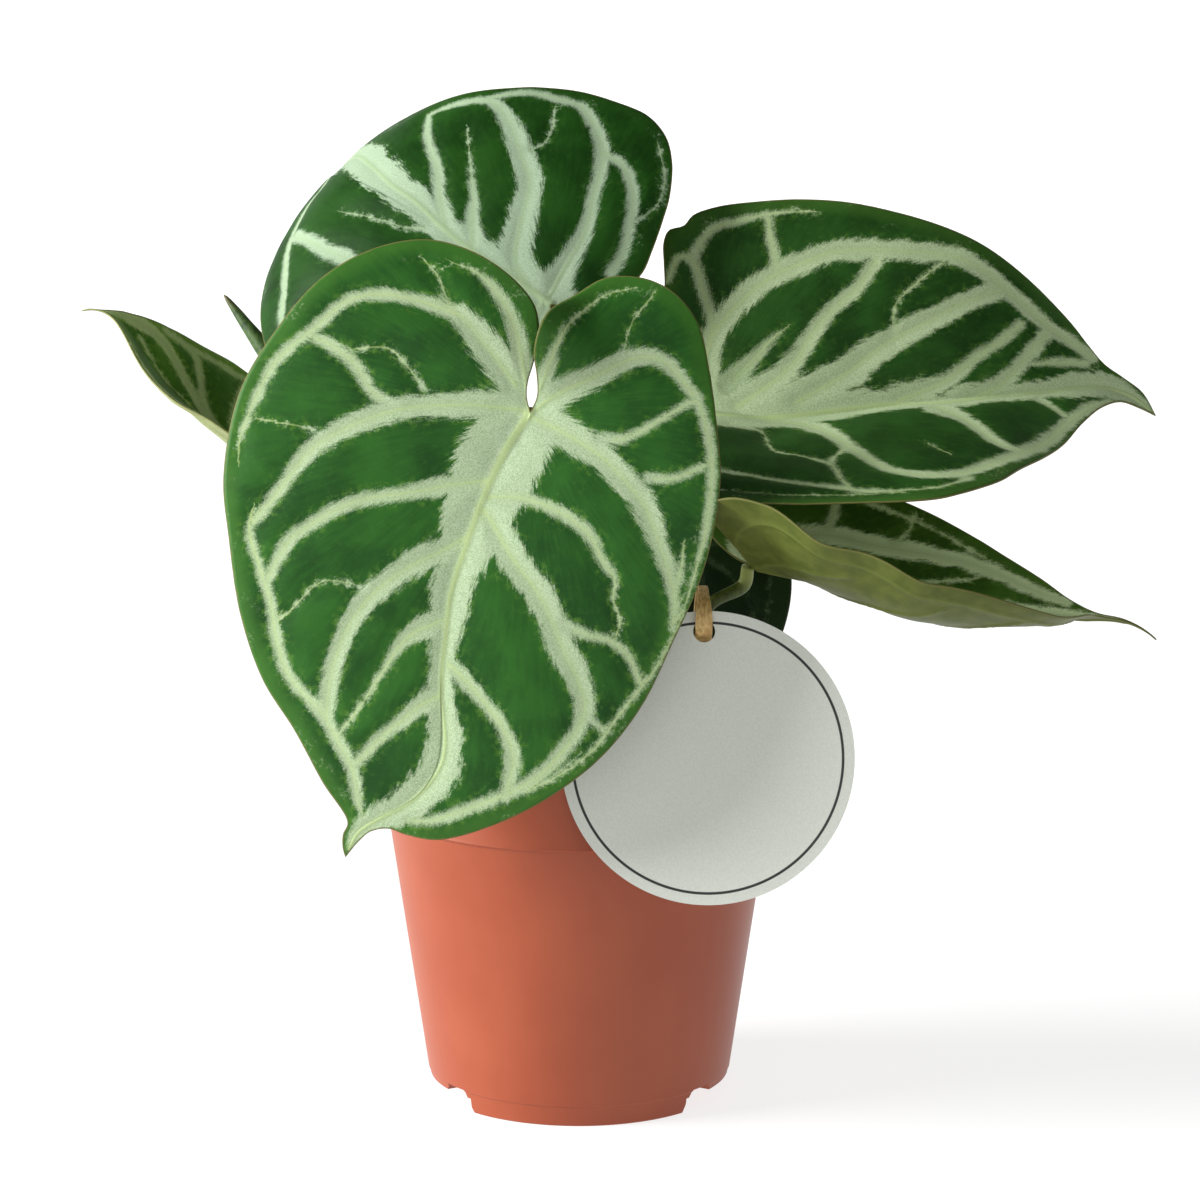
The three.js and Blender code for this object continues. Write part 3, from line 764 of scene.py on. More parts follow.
STRAP_FINISH = GrainFinish(
    name="strap",
    low=(166, 130, 76),
    high=(208, 176, 114),
    cloud=Grain(0.5, 4.0, 0.6, (3.0, 1.0, 1.0)),
    gloss=0.4,
    relief_strength=0.4,
)


@dataclass(frozen=True)
class StageFinish:
    """Plain pale studio paper that is lit from behind, more so away from the plant."""

    name: str = "stage"
    paper: Triple = (150, 150, 150)
    rough: float = 0.9
    gloss: float = 0.1
    near: float = 600.0
    far: float = 2800.0
    glow: float = 0.79
    glow_far: float = 0.92

    def build(self) -> Material:
        """Makes the material.

        Returns:
            The material.
        """
        g = Graph(self.name)
        reach = g.node("ShaderNodeVectorMath", (g.place(),), operation="LENGTH").outputs["Value"]
        values = (reach, self.near, self.far, self.glow, self.glow_far)
        glow = g.node("ShaderNodeMapRange", values).outputs[0]
        g.surface(Base_Color=srgb(self.paper), Roughness=self.rough, Specular_IOR_Level=self.gloss)
        g.surface(Emission_Color=WHITE, Emission_Strength=glow)
        return g.material


# Mesh helpers
def finished(name: str, bm: Shell, materials: list[Material], sharp: float | None = None) -> Piece:
    """Turns a bmesh in millimetres into an object at the origin in metres.

    Args:
        name: The piece's name.
        bm: The mesh, which is used up.
        materials: Its finishes, in the order of the faces' indices.
        sharp: The angle in degrees above which an edge stays sharp, or None for smooth all over.

    Returns:
        The object, linked to the scene.
    """
    bmesh.ops.scale(bm, vec=(MM, MM, MM), verts=bm.verts)
    mesh = bpy.data.meshes.new(name)
    bm.to_mesh(mesh)
    bm.free()
    return placed(name, mesh, materials, sharp)


def placed(name: str, mesh: bpy.types.Mesh, materials: list[Material], sharp: float | None = None) -> Piece:
    """Gives a mesh its finishes and an object at the origin.

    Args:
        name: The piece's name.
        mesh: The finished mesh, in metres.
        materials: Its finishes.
        sharp: The angle in degrees above which an edge stays sharp, or None.

    Returns:
        The object, linked to the scene.
    """
    for material in materials:
        mesh.materials.append(material)
    mesh.polygons.foreach_set("use_smooth", [True] * len(mesh.polygons))
    if sharp is not None:
        mesh.set_sharp_from_angle(angle=math.radians(sharp))
    made = bpy.data.objects.new(name, mesh)
    bpy.context.scene.collection.objects.link(made)
    return made


def settle(piece: Piece, slot: Slot, *nodes: str) -> None:
    """Rides a piece on the plant's body, hides the solids that it replaces and logs its faces.

    Args:
        piece: The finished piece.
        slot: Not used.
        *nodes: The solids that it replaces.
    """
    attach(piece, BODY)
    if nodes:
        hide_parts(*nodes)
    LOG.info("%s: %d faces", piece.name, len(piece.data.polygons))


def centripetal(points: list[tuple[float, ...]], closed: bool = False, steps: int = 14) -> np.ndarray:
    """Draws a centripetal Catmull-Rom curve through points.

    Args:
        points: The control points.
        closed: Whether the curve joins up.
        steps: Samples for each span.

    Returns:
        The samples, one row each.
    """
    control = np.array(points, float)
    if closed:
        padded = np.vstack([control[-1], control, control[0], control[1]])
    else:
        padded = np.vstack([2 * control[0] - control[1], control, 2 * control[-1] - control[-2]])
    samples = []
    for i in range(len(padded) - 3):
        p0, p1, p2, p3 = padded[i : i + 4]
        gaps = [max(float(np.linalg.norm(b - a)) ** 0.5, 1e-6) for a, b in ((p0, p1), (p1, p2), (p2, p3))]
        t1, t2, t3 = gaps[0], gaps[0] + gaps[1], sum(gaps)
        for t in np.linspace(t1, t2, steps, endpoint=False):
            a1 = ((t1 - t) * p0 + t * p1) / t1
            a2 = ((t2 - t) * p1 + (t - t1) * p2) / (t2 - t1)
            a3 = ((t3 - t) * p2 + (t - t2) * p3) / (t3 - t2)
            b1 = ((t2 - t) * a1 + t * a2) / t2
            b2 = ((t3 - t) * a2 + (t - t1) * a3) / (t3 - t1)
            samples.append(((t2 - t) * b1 + (t - t1) * b2) / (t2 - t1))
    samples.append(control[0] if closed else control[-1])
    return np.array(samples)


def bell(gap: np.ndarray, reach: float | np.ndarray) -> np.ndarray:
    """Falls smoothly from 1 at no gap to almost 0 at twice the reach."""
    return np.exp(-((gap / reach) ** 2))


def arc_lengths(samples: np.ndarray) -> np.ndarray:
    """Gives the length of a sampled curve up to each of its samples."""
    return np.concatenate([[0.0], np.cumsum(np.linalg.norm(np.diff(samples, axis=0), axis=1))])


def at_lengths(samples: np.ndarray, wanted: np.ndarray) -> np.ndarray:
    """Gives the points of a sampled curve at shares of its length.

    Args:
        samples: The curve.
        wanted: Shares from 0 to 1.

    Returns:
        One point for each share.
    """
    lengths = arc_lengths(samples)
    at = wanted * lengths[-1]
    return np.stack([np.interp(at, lengths, samples[:, i]) for i in range(samples.shape[1])], -1)


def loft(bm: Shell, sections: list[Ring], segments: int, closed: bool = False, square: float = 1.0) -> None:
    """Bridges rings into a tube.

    Args:
        bm: The mesh to add to.
        sections: For each ring its place, and its half sizes along its own X and Y.
        segments: Corners of a ring.
        closed: Whether the last ring joins the first; otherwise both ends are capped.
        square: The power that squares a ring's outline: 1 is an ellipse, less is boxier.
    """
    rings = []
    for place, half_x, half_y in sections:
        made = bmesh.ops.create_circle(bm, segments=segments, radius=1.0)
        for vert in made["verts"]:
            x, y = (math.copysign(abs(value) ** square, value) for value in (vert.co.x, vert.co.y))
            vert.co = place @ Vector((half_x * x, half_y * y, 0))
        rings.append(list(dict.fromkeys(edge for vert in made["verts"] for edge in vert.link_edges)))
    pairs = list(zip(rings, rings[1:])) + ([(rings[-1], rings[0])] if closed else [])
    for first, second in pairs:
        bmesh.ops.bridge_loops(bm, edges=first + second)
    if not closed:
        for ring in (rings[0], rings[-1]):
            bmesh.ops.edgeloop_fill(bm, edges=ring)
    bmesh.ops.recalc_face_normals(bm, faces=bm.faces)


def around(reach: float, turn: float, height: float) -> Vector:
    """Gives the place at a distance from the Z axis, a turn in radians and a height."""
    return Vector((reach * math.cos(turn), reach * math.sin(turn), height))


def turn_about(bm: Shell, profile: tuple[Pair, ...], steps: int, segments: int) -> None:
    """Adds a round body on the Z axis, from its outline of points (radius, height)."""
    curve = at_lengths(centripetal(list(profile)), np.linspace(0, 1, steps))
    loft(bm, [(Matrix.Translation((0, 0, z)), radius, radius) for radius, z in curve], segments)


def frames_along(points: np.ndarray, up: Vector) -> list[Matrix]:
    """Carries a frame along a path without twisting it.

    Args:
        points: The path.
        up: A direction that isn't along the path's start.

    Returns:
        A frame for each point, with its Z along the path.
    """
    path = [Vector(point) for point in points]
    frames = []
    across = None
    for i, point in enumerate(path):
        ahead = (path[min(i + 1, len(path) - 1)] - path[max(i - 1, 0)]).normalized()
        across = (up.cross(ahead) if across is None else across - ahead * across.dot(ahead)).normalized()
        turned = Matrix((across, ahead.cross(across), ahead)).transposed()
        frames.append(Matrix.Translation(point) @ turned.to_4x4())
    return frames


# Blades
@dataclass(frozen=True)
class Vein:
    """One vein, drawn in leaf coordinates.

    Attributes:
        path: Points (x, y, half width of its silver band).
        ridge: Half width of the pale ridge at its start; 0 leaves it plain.
        ridge_end: The same at its end.
        shine: How silvery its band is; below 1 it also dims a band as painted shade, above 1 it brightens one
            as painted light.
    """

    path: tuple[Triple, ...]
    ridge: float = 0.32
    ridge_end: float = 0.14
    shine: float = 1.0


@dataclass(frozen=True)
class Lift:
    """A local rise of one half of a blade."""

    side: int
    x: float
    y: float
    radius: float
    height: float


@dataclass(frozen=True)
class BladeShape:
    """A blade's place, bends and outline.

    Leaf coordinates are x to the right of the midrib and y towards the tip, from the point where the
    stalk meets the blade. Bend stations are (y, degrees); fold and curl stations are (y, left, right).
    """

    base: Triple
    heading: float
    rise: float
    roll: float
    bend: tuple[Pair, ...]
    fold: tuple[Triple, ...]
    curl: tuple[Triple, ...]
    right: tuple[Pair, ...]
    left: tuple[Pair, ...]
    midline: tuple[Pair, ...] = ((0, 0),)
    lifts: tuple[Lift, ...] = ()


def station_value(stations: Rows, column: int, y: np.ndarray) -> np.ndarray:
    """Reads a smooth value between stations, flat outside them.

    Args:
        stations: Rows that start with y.
        column: Which of a row's values is read.
        y: Where it is read.

    Returns:
        A value for each y.
    """
    at = np.array([row[0] for row in stations], float)
    values = np.array([row[column] for row in stations], float)
    if len(at) == 1:
        return np.full_like(y, values[0])
    slopes = np.zeros(len(at))
    slopes[1:-1] = (values[2:] - values[:-2]) / (at[2:] - at[:-2])
    held = np.clip(y, at[0], at[-1])
    i = np.clip(np.searchsorted(at, held, side="right") - 1, 0, len(at) - 2)
    span = at[i + 1] - at[i]
    t = (held - at[i]) / span
    start = values[i] * (1 + 2 * t) * (1 - t) ** 2
    end = values[i + 1] * t * t * (3 - 2 * t)
    return start + end + span * t * (t - 1) * (slopes[i] * (t - 1) + slopes[i + 1] * t)


def arc_step(start: np.ndarray, end: np.ndarray, length: np.ndarray) -> tuple[np.ndarray, np.ndarray]:
    """Follows an arc whose direction turns from start to end.

    Args:
        start: Direction at the start, in radians.
        end: Direction at the end.
        length: Length of the arc.

    Returns:
        How far it goes along, and how far it goes up.
    """
    rate = (end - start) / np.where(np.abs(length) < LEAST_LENGTH, LEAST_LENGTH, length)
    flat = np.abs(rate) < LEAST_TURN
    rate = np.where(flat, LEAST_TURN, rate)
    turned = start + rate * length
    along = np.where(flat, length * np.cos(start), (np.sin(turned) - np.sin(start)) / rate)
    up = np.where(flat, length * np.sin(start), (np.cos(start) - np.cos(turned)) / rate)
    return along, up


class BladeSurface:
    """Maps leaf coordinates to space."""

    normal_step = 0.05

    def __init__(self, shape: BladeShape) -> None:
        """Works out the blade's axes.

        Args:
            shape: The blade's place and bends.
        """
        self.shape = shape
        h, r, q = (math.radians(value) for value in (shape.heading, shape.rise, shape.roll))
        self.forward = np.array([math.cos(r) * math.cos(h), math.cos(r) * math.sin(h), math.sin(r)])
        up = np.array([-math.sin(r) * math.cos(h), -math.sin(r) * math.sin(h), math.cos(r)])
        across = np.cross(self.forward, up)
        self.normal = up * math.cos(q) + across * math.sin(q)
        self.right = across * math.cos(q) - up * math.sin(q)

    def spine(self, y: np.ndarray) -> tuple[np.ndarray, np.ndarray, np.ndarray]:
        """Follows the midrib both ways from y = 0, as arcs between the bend stations.

        Args:
            y: Where on the blade.

        Returns:
            The way along, the drop and the angle there.
        """
        stations = [(at, math.radians(angle)) for at, angle in self.shape.bend]
        zero = next(i for i, row in enumerate(stations) if row[0] == 0)
        along, drop, angle = np.zeros_like(y), np.zeros_like(y), np.full_like(y, stations[zero][1])
        for step in (1, -1):
            i, reached, fallen = zero, 0.0, 0.0
            while 0 <= i + step < len(stations):
                (at, start), (then, end) = stations[i], stations[i + step]
                is_last = not 0 <= i + 2 * step < len(stations)
                here = ((y - at) * step > 0) & (is_last | ((then - y) * step >= 0))
                turned = start + (end - start) * (y - at) / (then - at)
                out, up = arc_step(np.full_like(y, start), turned, y - at)
                along, drop = np.where(here, reached + out, along), np.where(here, fallen + up, drop)
                angle = np.where(here, turned, angle)
                out, up = arc_step(np.array(start), np.array(end), np.array(then - at))
                reached, fallen, i = reached + float(out), fallen + float(up), i + step
        return along, drop, angle

    def points(self, side: np.ndarray, x: np.ndarray, y: np.ndarray) -> np.ndarray:
        """Gives the places in space of points on the blade.

        Args:
            side: -1 for the left half and 1 for the right.
            x: Leaf coordinate across.
            y: Leaf coordinate along.

        Returns:
            One row for each point, in millimetres.
        """
        along, drop, angle = self.spine(y)
        up = self.normal * np.cos(angle)[:, None] + self.forward * np.sin(angle)[:, None]
        middle = station_value(self.shape.midline, 1, y)
        left = side < 0
        fold = np.radians(np.where(left, *(station_value(self.shape.fold, i, y) for i in (1, 2))))
        curl = np.radians(np.where(left, *(station_value(self.shape.curl, i, y) for i in (1, 2)))) / 100
        reach = side * (x - middle)
        out, lift = arc_step(fold, fold + curl * reach, reach)
        for bump in self.shape.lifts:
            away = np.hypot(x - bump.x, y - bump.y) / bump.radius
            lift = lift + np.where(side == bump.side, bump.height * np.exp(-away * away), 0)
        spine = np.array(self.shape.base) + self.forward * along[:, None] - self.normal * drop[:, None]
        return spine + self.right * (middle + side * out)[:, None] + up * lift[:, None]

    def normals(self, side: np.ndarray, x: np.ndarray, y: np.ndarray) -> np.ndarray:
        """Gives the upper face's normals, both halves' average on the midrib.

        Args:
            side: -1 for the left half, 1 for the right and 0 for the midrib.
            x: Leaf coordinate across.
            y: Leaf coordinate along.

        Returns:
            One row of length 1 for each point.
        """
        middle = side == 0
        normal = self.half_normals(np.where(middle, 1, side), x, y)
        if middle.any():
            both = normal + self.half_normals(np.where(middle, -1, side), x, y)
            normal = np.where(middle[:, None], both / np.linalg.norm(both, axis=1)[:, None], normal)
        return normal

    def half_normals(self, side: np.ndarray, x: np.ndarray, y: np.ndarray) -> np.ndarray:
        """Gives the upper face's normals as one half has them.

        Args:
            side: -1 for the left half and 1 for the right.
            x: Leaf coordinate across.
            y: Leaf coordinate along.

        Returns:
            One row of length 1 for each point.
        """
        step = self.normal_step
        over_x = self.points(side, x + step, y) - self.points(side, x - step, y)
        over_y = self.points(side, x, y + step) - self.points(side, x, y - step)
        out = np.cross(over_x, over_y)
        return out / np.linalg.norm(out, axis=1)[:, None]


class Outline:
    """A blade's margin, split on each side at its lobe's rearmost point."""

    near_share = 0.2
    margin_samples = 500

    def __init__(self, shape: BladeShape) -> None:
        """Samples both halves of the margin.

        Args:
            shape: The blade whose outline is read.
        """
        self.shape = shape
        self.halves = {side: centripetal(list(rows)) for side, rows in ((-1, shape.left), (1, shape.right))}
        self.rear = {}
        for side, samples in self.halves.items():
            lengths = arc_lengths(samples)
            self.rear[side] = lengths[int(np.argmin(samples[:, 1]))] / lengths[-1]
        self.length = shape.right[-1][1]
        end = float(station_value(shape.midline, 1, np.array([float(self.length)]))[0])
        self.shear = (shape.right[-1][0] - end) / self.length

    def grid_points(self, u: np.ndarray, v: np.ndarray) -> tuple[np.ndarray, np.ndarray]:
        """Spreads a grid over the blade.

        Args:
            u: 0 along the lobes to 1 at the tip.
            v: -1 on the left margin, 0 on the midrib, 1 on the right margin.

        Returns:
            The leaf coordinates x and y.
        """
        y = self.length * (self.near_share * u + (1 - self.near_share) * u**3)
        middle = np.stack([station_value(self.shape.midline, 1, y) + self.shear * y, y], -1)
        x_out, y_out = np.zeros_like(u), np.zeros_like(u)
        for side, samples in self.halves.items():
            here = (v * side > 0) | ((v == 0) & (side == 1))
            share, rear = np.abs(v[here]), self.rear[side]
            outer = at_lengths(samples, rear + (1 - rear) * u[here])
            held = at_lengths(samples, np.full_like(share, rear))
            lobe = at_lengths(samples, rear * share) - share[:, None] * held
            at = (1 - share)[:, None] * middle[here] + share[:, None] * outer
            at += (1 - u[here])[:, None] * lobe
            x_out[here], y_out[here] = at[:, 0], at[:, 1]
        return x_out, y_out

    def margin(self) -> np.ndarray:
        """Gives samples all round the margin."""
        shares = np.linspace(0, 1, self.margin_samples)
        return np.vstack([at_lengths(samples, shares) for samples in self.halves.values()])


VEIN_LEAST = 4
VEIN_STEP = 0.6
RIDGE_SLIMS = 1.6
RIDGE_CURVE = 0.7
LEAST_RIDGE = 0.05
RIDGE_SEEN = 2.2
BATCH = 4000
ROW_SPREAD = 1.4
FLAT = 0.01
CLOSE = 1e-6
TWIN_DIGITS = 5
MARKS = (
    "band",
    "across",
    "reach",
    "shine",
    "ray",
    "far",
    "ridge",
    "ridge_across",
    "ridge_near",
    "edge",
)


@dataclass
class Blade:
    """One blade with its veins.

    Attributes:
        name: What the piece is called after.
        node: The solid that it replaces.
        shape: Its place and outline.
        veins: Its veins; the first is the midrib.
        rows: Grid rows from the lobes to the tip.
        columns: Grid columns on each half.
        thickness: Thickness away from the margin.
        margin_thickness: Thickness at the margin.
        quilt: Height of the swells between the veins.
        groove: Depth of the furrow that a vein lies in.
        shine: How silvery its bands are; the shade blade's is cut low as painted shade.
        tone: The finish of its upper face; every blade but the front one takes a copy with painted light or
            shade in its colours.
        under: The finish of its lower face and rim; the left blade's is a paler copy, painted light.
    """

    name: str
    node: str
    shape: BladeShape
    veins: tuple[Vein, ...]
    rows: int = 190
    columns: int = 76
    thickness: float = 0.7
    margin_thickness: float = 0.45
    quilt: float = 0.45
    groove: float = 0.22
    shine: float = 1.0
    tone: LeafUpperFinish = FULL_TONE
    under: LeafUnderFinish = OLIVE_UNDER
    edge_fade: float = 6
    rim_fade: float = 3
    swell_reach: float = 5.0
    furrow_reach: float = 1.6
    crest: float = 0.55
    crest_reach: Pair = (0.75, 0.3)
    rib: Pair = (0.35, 0.8)
    rib_reach: float = 0.5
    wave: float = 0.18
    wave_scale: float = 0.12
    wave_layer: float = 3.7

    def vein_samples(self) -> dict[str, np.ndarray]:
        """Samples every vein finely.

        Returns:
            Arrays of places, directions, band and ridge half widths and shine, one row a sample.
        """
        sampled = []
        for vein in self.veins:
            curve = centripetal(list(vein.path))
            lengths = arc_lengths(curve[:, :2])
            share = np.linspace(0, 1, max(VEIN_LEAST, int(lengths[-1] / VEIN_STEP)))
            at = np.stack([np.interp(share * lengths[-1], lengths, curve[:, i]) for i in range(3)], -1)
            ahead = np.gradient(at[:, :2], axis=0)
            slimmed = np.minimum(share * RIDGE_SLIMS, 1) ** RIDGE_CURVE
            row = {
                "at": at[:, :2],
                "ahead": ahead / np.linalg.norm(ahead, axis=1)[:, None],
                "band": at[:, 2],
                "ridge": vein.ridge + (vein.ridge_end - vein.ridge) * slimmed,
                "shine": np.full(len(share), vein.shine * self.shine),
            }
            sampled.append(row)
        return {key: np.concatenate([row[key] for row in sampled]) for key in sampled[0]}

    @staticmethod
    def nearest(points: np.ndarray, places: np.ndarray, bonus: np.ndarray) -> np.ndarray:
        """Finds for each point the sample whose bonus less its distance is greatest.

        Args:
            points: Leaf coordinates.
            places: The samples' places.
            bonus: What each sample adds.

        Returns:
            The index of a sample for each point.
        """
        found = np.empty(len(points), int)
        for start in range(0, len(points), BATCH):
            batch = slice(start, start + BATCH)
            gap = points[batch, None] - places[None]
            found[batch] = np.argmax(bonus - np.hypot(gap[..., 0], gap[..., 1]), axis=1)
        return found

    def markings(self, x: np.ndarray, y: np.ndarray, outline: Outline) -> dict[str, np.ndarray]:
        """Works out what each point of the blade shows.

        Args:
            x: Leaf coordinates across.
            y: Leaf coordinates along.
            outline: The blade's margin.

        Returns:
            The attributes that the finishes read, and the distance to the nearest vein.
        """
        samples = self.vein_samples()
        points = np.stack([x, y], -1)
        places, ridge, margin = samples["at"], samples["ridge"], outline.margin()
        widest = self.nearest(points, places, samples["band"])
        kept = np.flatnonzero(ridge > LEAST_RIDGE)
        closest = kept[self.nearest(points, places[kept], ridge[kept])]
        by_vein = self.nearest(points, places, np.zeros(len(places)))
        by_margin = self.nearest(points, margin, np.zeros(len(margin)))
        across = self.signed_gap(points, samples, widest)
        ridge_across = self.signed_gap(points, samples, closest)
        return {
            "band": samples["band"][widest],
            "across": across,
            "reach": np.abs(across),
            "shine": samples["shine"][widest],
            "ray": np.arctan2(x, y) * RAY_RADIUS,
            "far": np.hypot(x, y),
            "ridge": ridge[closest],
            "ridge_across": ridge_across,
            "ridge_near": np.clip(RIDGE_SEEN - np.abs(ridge_across), 0, 1),
            "edge": np.linalg.norm(points - margin[by_margin], axis=1),
            "gap": np.linalg.norm(points - places[by_vein], axis=1),
        }

    @staticmethod
    def signed_gap(points: np.ndarray, samples: dict[str, np.ndarray], index: np.ndarray) -> np.ndarray:
        """Measures from each point to its vein sample.

        Args:
            points: Leaf coordinates.
            samples: What vein_samples() gave.
            index: The sample of each point.

        Returns:
            Distances, less than 0 on the vein's left.
        """
        gap, ahead = points - samples["at"][index], samples["ahead"][index]
        sideways = gap[:, 0] * ahead[:, 1] - gap[:, 1] * ahead[:, 0]
        forward = gap[:, 0] * ahead[:, 0] + gap[:, 1] * ahead[:, 1]
        return np.where(sideways < 0, -1, 1) * np.hypot(forward, sideways)

    def topology(self) -> bpy.types.Mesh:
        """Makes the blade's shell as a flat grid, with each point's u, v and face in attributes.

        Returns:
            The mesh, before it is shaped.
        """
        bm = bmesh.new()
        bmesh.ops.create_grid(bm, x_segments=2 * self.columns, y_segments=self.rows, size=1.0)
        u_layer, v_layer = bm.verts.layers.float.new("u"), bm.verts.layers.float.new("v")
        for vert in bm.verts:
            vert[u_layer] = 1 - (1 - (vert.co.y + 1) / 2) ** ROW_SPREAD
            vert[v_layer] = vert.co.x if abs(vert.co.x) > CLOSE else 0.0
        tip = [vert for vert in bm.verts if vert.co.y > 1 - CLOSE]
        bmesh.ops.pointmerge(bm, verts=tip, merge_co=(0, 1, 0))
        upper = len(bm.verts)
        bmesh.ops.solidify(bm, geom=bm.faces[:], thickness=FLAT)
        bm.verts.index_update()
        under = bm.verts.layers.float.new("under")
        for vert in bm.verts:
            vert[under] = float(vert.index >= upper)
        mesh = bpy.data.meshes.new(self.name)
        bm.to_mesh(mesh)
        bm.free()
        return mesh

    @staticmethod
    def read(mesh: bpy.types.Mesh, name: str) -> np.ndarray:
        """Reads a number at each point of a mesh.

        Args:
            mesh: The mesh.
            name: The attribute that holds it.

        Returns:
            One number for each point.
        """
        values = np.empty(len(mesh.vertices), np.float32)
        mesh.attributes[name].data.foreach_get("value", values)
        return values.astype(float)

    def relief(self, marks: dict[str, np.ndarray], place: np.ndarray) -> tuple[np.ndarray, np.ndarray]:
        """Works out how far the blade's faces rise: swells between veins, furrows with a raised ridge.

        Args:
            marks: What markings() gave.
            place: Leaf coordinates, for the slow waves.

        Returns:
            The rise of the upper face and the fall of the lower one.
        """
        gap, ridge, across = marks["gap"], marks["ridge"], marks["ridge_across"]
        edge, rim = (np.clip(marks["edge"] / fade, 0, 1) for fade in (self.edge_fade, self.rim_fade))
        swell = self.quilt * (1 - bell(gap, self.swell_reach)) * edge
        furrow = self.groove * bell(gap, self.furrow_reach) * edge
        crest = self.crest * ridge * bell(across, self.crest_reach[0] * ridge + self.crest_reach[1])
        scale, layer = self.wave_scale, self.wave_layer
        wave = np.array([noise.noise(Vector((x * scale, y * scale, layer))) for x, y in place])
        wave = self.wave * wave * edge
        rib = (self.rib[0] + self.rib[1] * ridge) * bell(across, self.rib_reach + ridge)
        return swell - furrow + crest + wave, rib * rim - swell + furrow / 2 - wave

    def build(self, upper: Material, under: Material) -> None:
        """Makes the blade.

        Args:
            upper: Finish of the upper face.
            under: Finish of the lower face and the rim.
        """
        mesh = self.topology()
        u, v, below = (self.read(mesh, name) for name in ("u", "v", "under"))
        outline, surface = Outline(self.shape), BladeSurface(self.shape)
        places, twin = np.unique(np.round(np.stack([u, v], -1), TWIN_DIGITS), axis=0, return_inverse=True)
        twin = twin.ravel()
        u, v = places[:, 0], places[:, 1]
        x, y = outline.grid_points(u, v)
        side = np.where(np.abs(v) < CLOSE, 0, np.sign(v))
        marks = self.markings(x, y, outline)
        normals = surface.normals(side, x, y)
        centre = surface.points(np.where(side == 0, 1, side), x, y)
        rise, fall = self.relief(marks, np.stack([x, y], -1))
        rim = np.clip(marks["edge"] / self.rim_fade, 0, 1)
        half = (self.margin_thickness + (self.thickness - self.margin_thickness) * rim) / 2
        offset = np.where(below > 0.5, (-half - fall)[twin], (half + rise)[twin])
        shaped = centre[twin] + normals[twin] * offset[:, None]
        mesh.vertices.foreach_set("co", (shaped * MM).astype(np.float32).ravel())
        for name in MARKS:
            layer = mesh.attributes.new(name, "FLOAT", "POINT")
            layer.data.foreach_set("value", marks[name][twin].astype(np.float32))
        starts, corners = np.empty(len(mesh.polygons), np.int32), np.empty(len(mesh.loops), np.int32)
        mesh.polygons.foreach_get("loop_start", starts)
        mesh.loops.foreach_get("vertex_index", corners)
        lowest = np.maximum.reduceat(below[corners], starts) > 0.5
        made = placed(f"blade_{self.name}", mesh, [upper, under])
        mesh.polygons.foreach_set("material_index", lowest.astype(np.int32))
        mesh.update()
        settle(made, Slot.LEAF, self.node)


FRONT_SHAPE = BladeShape(
    base=(-13, -55, 210),
    heading=221,
    rise=-64,
    roll=-42,
    bend=((-46, -14), (0, 0), (60, 4), (118, 14), (134, 40)),
    fold=((-46, 2, 6), (0, 6, 8), (60, 4, 6), (130, 2, 2)),
    curl=((0, -30, -18),),
    midline=((0, 0), (22, 3.5), (50, 4), (75, -1), (98, -8.5), (111, -6), (124, 6), (132, 8)),
    lifts=(Lift(-1, 6.5, -21, 11.5, 14),),
    right=(
        (0, 0), (2.5, -4), (3.6, -8), (4, -14), (5, -21), (9, -29), (17, -34.5), (30.5, -38.5), (44, -38),
        (56.5, -31.5), (68, -18.5), (75.3, 0), (79.2, 20), (75.6, 44), (68.3, 60), (58, 79.5), (46.3, 94.5),
        (33.6, 104.6), (21.6, 115.6), (11.5, 124), (11.8, 128), (11, 132), (9.6, 135),
    ),
    left=(
        (0, 0), (-0.3, -5), (1.5, -10), (3.5, -14), (4, -20), (3, -28), (0, -35), (-6, -44), (-16, -48),
        (-26, -47), (-35, -41), (-42, -30), (-50, -14), (-56, 0), (-59, 14), (-60, 30), (-58.5, 47),
        (-56, 67), (-50, 84), (-40, 99), (-27, 112), (-14, 120.5), (-5, 122), (0, 122), (4.5, 124.5),
        (7, 128.5), (9.6, 135),
    ),
)
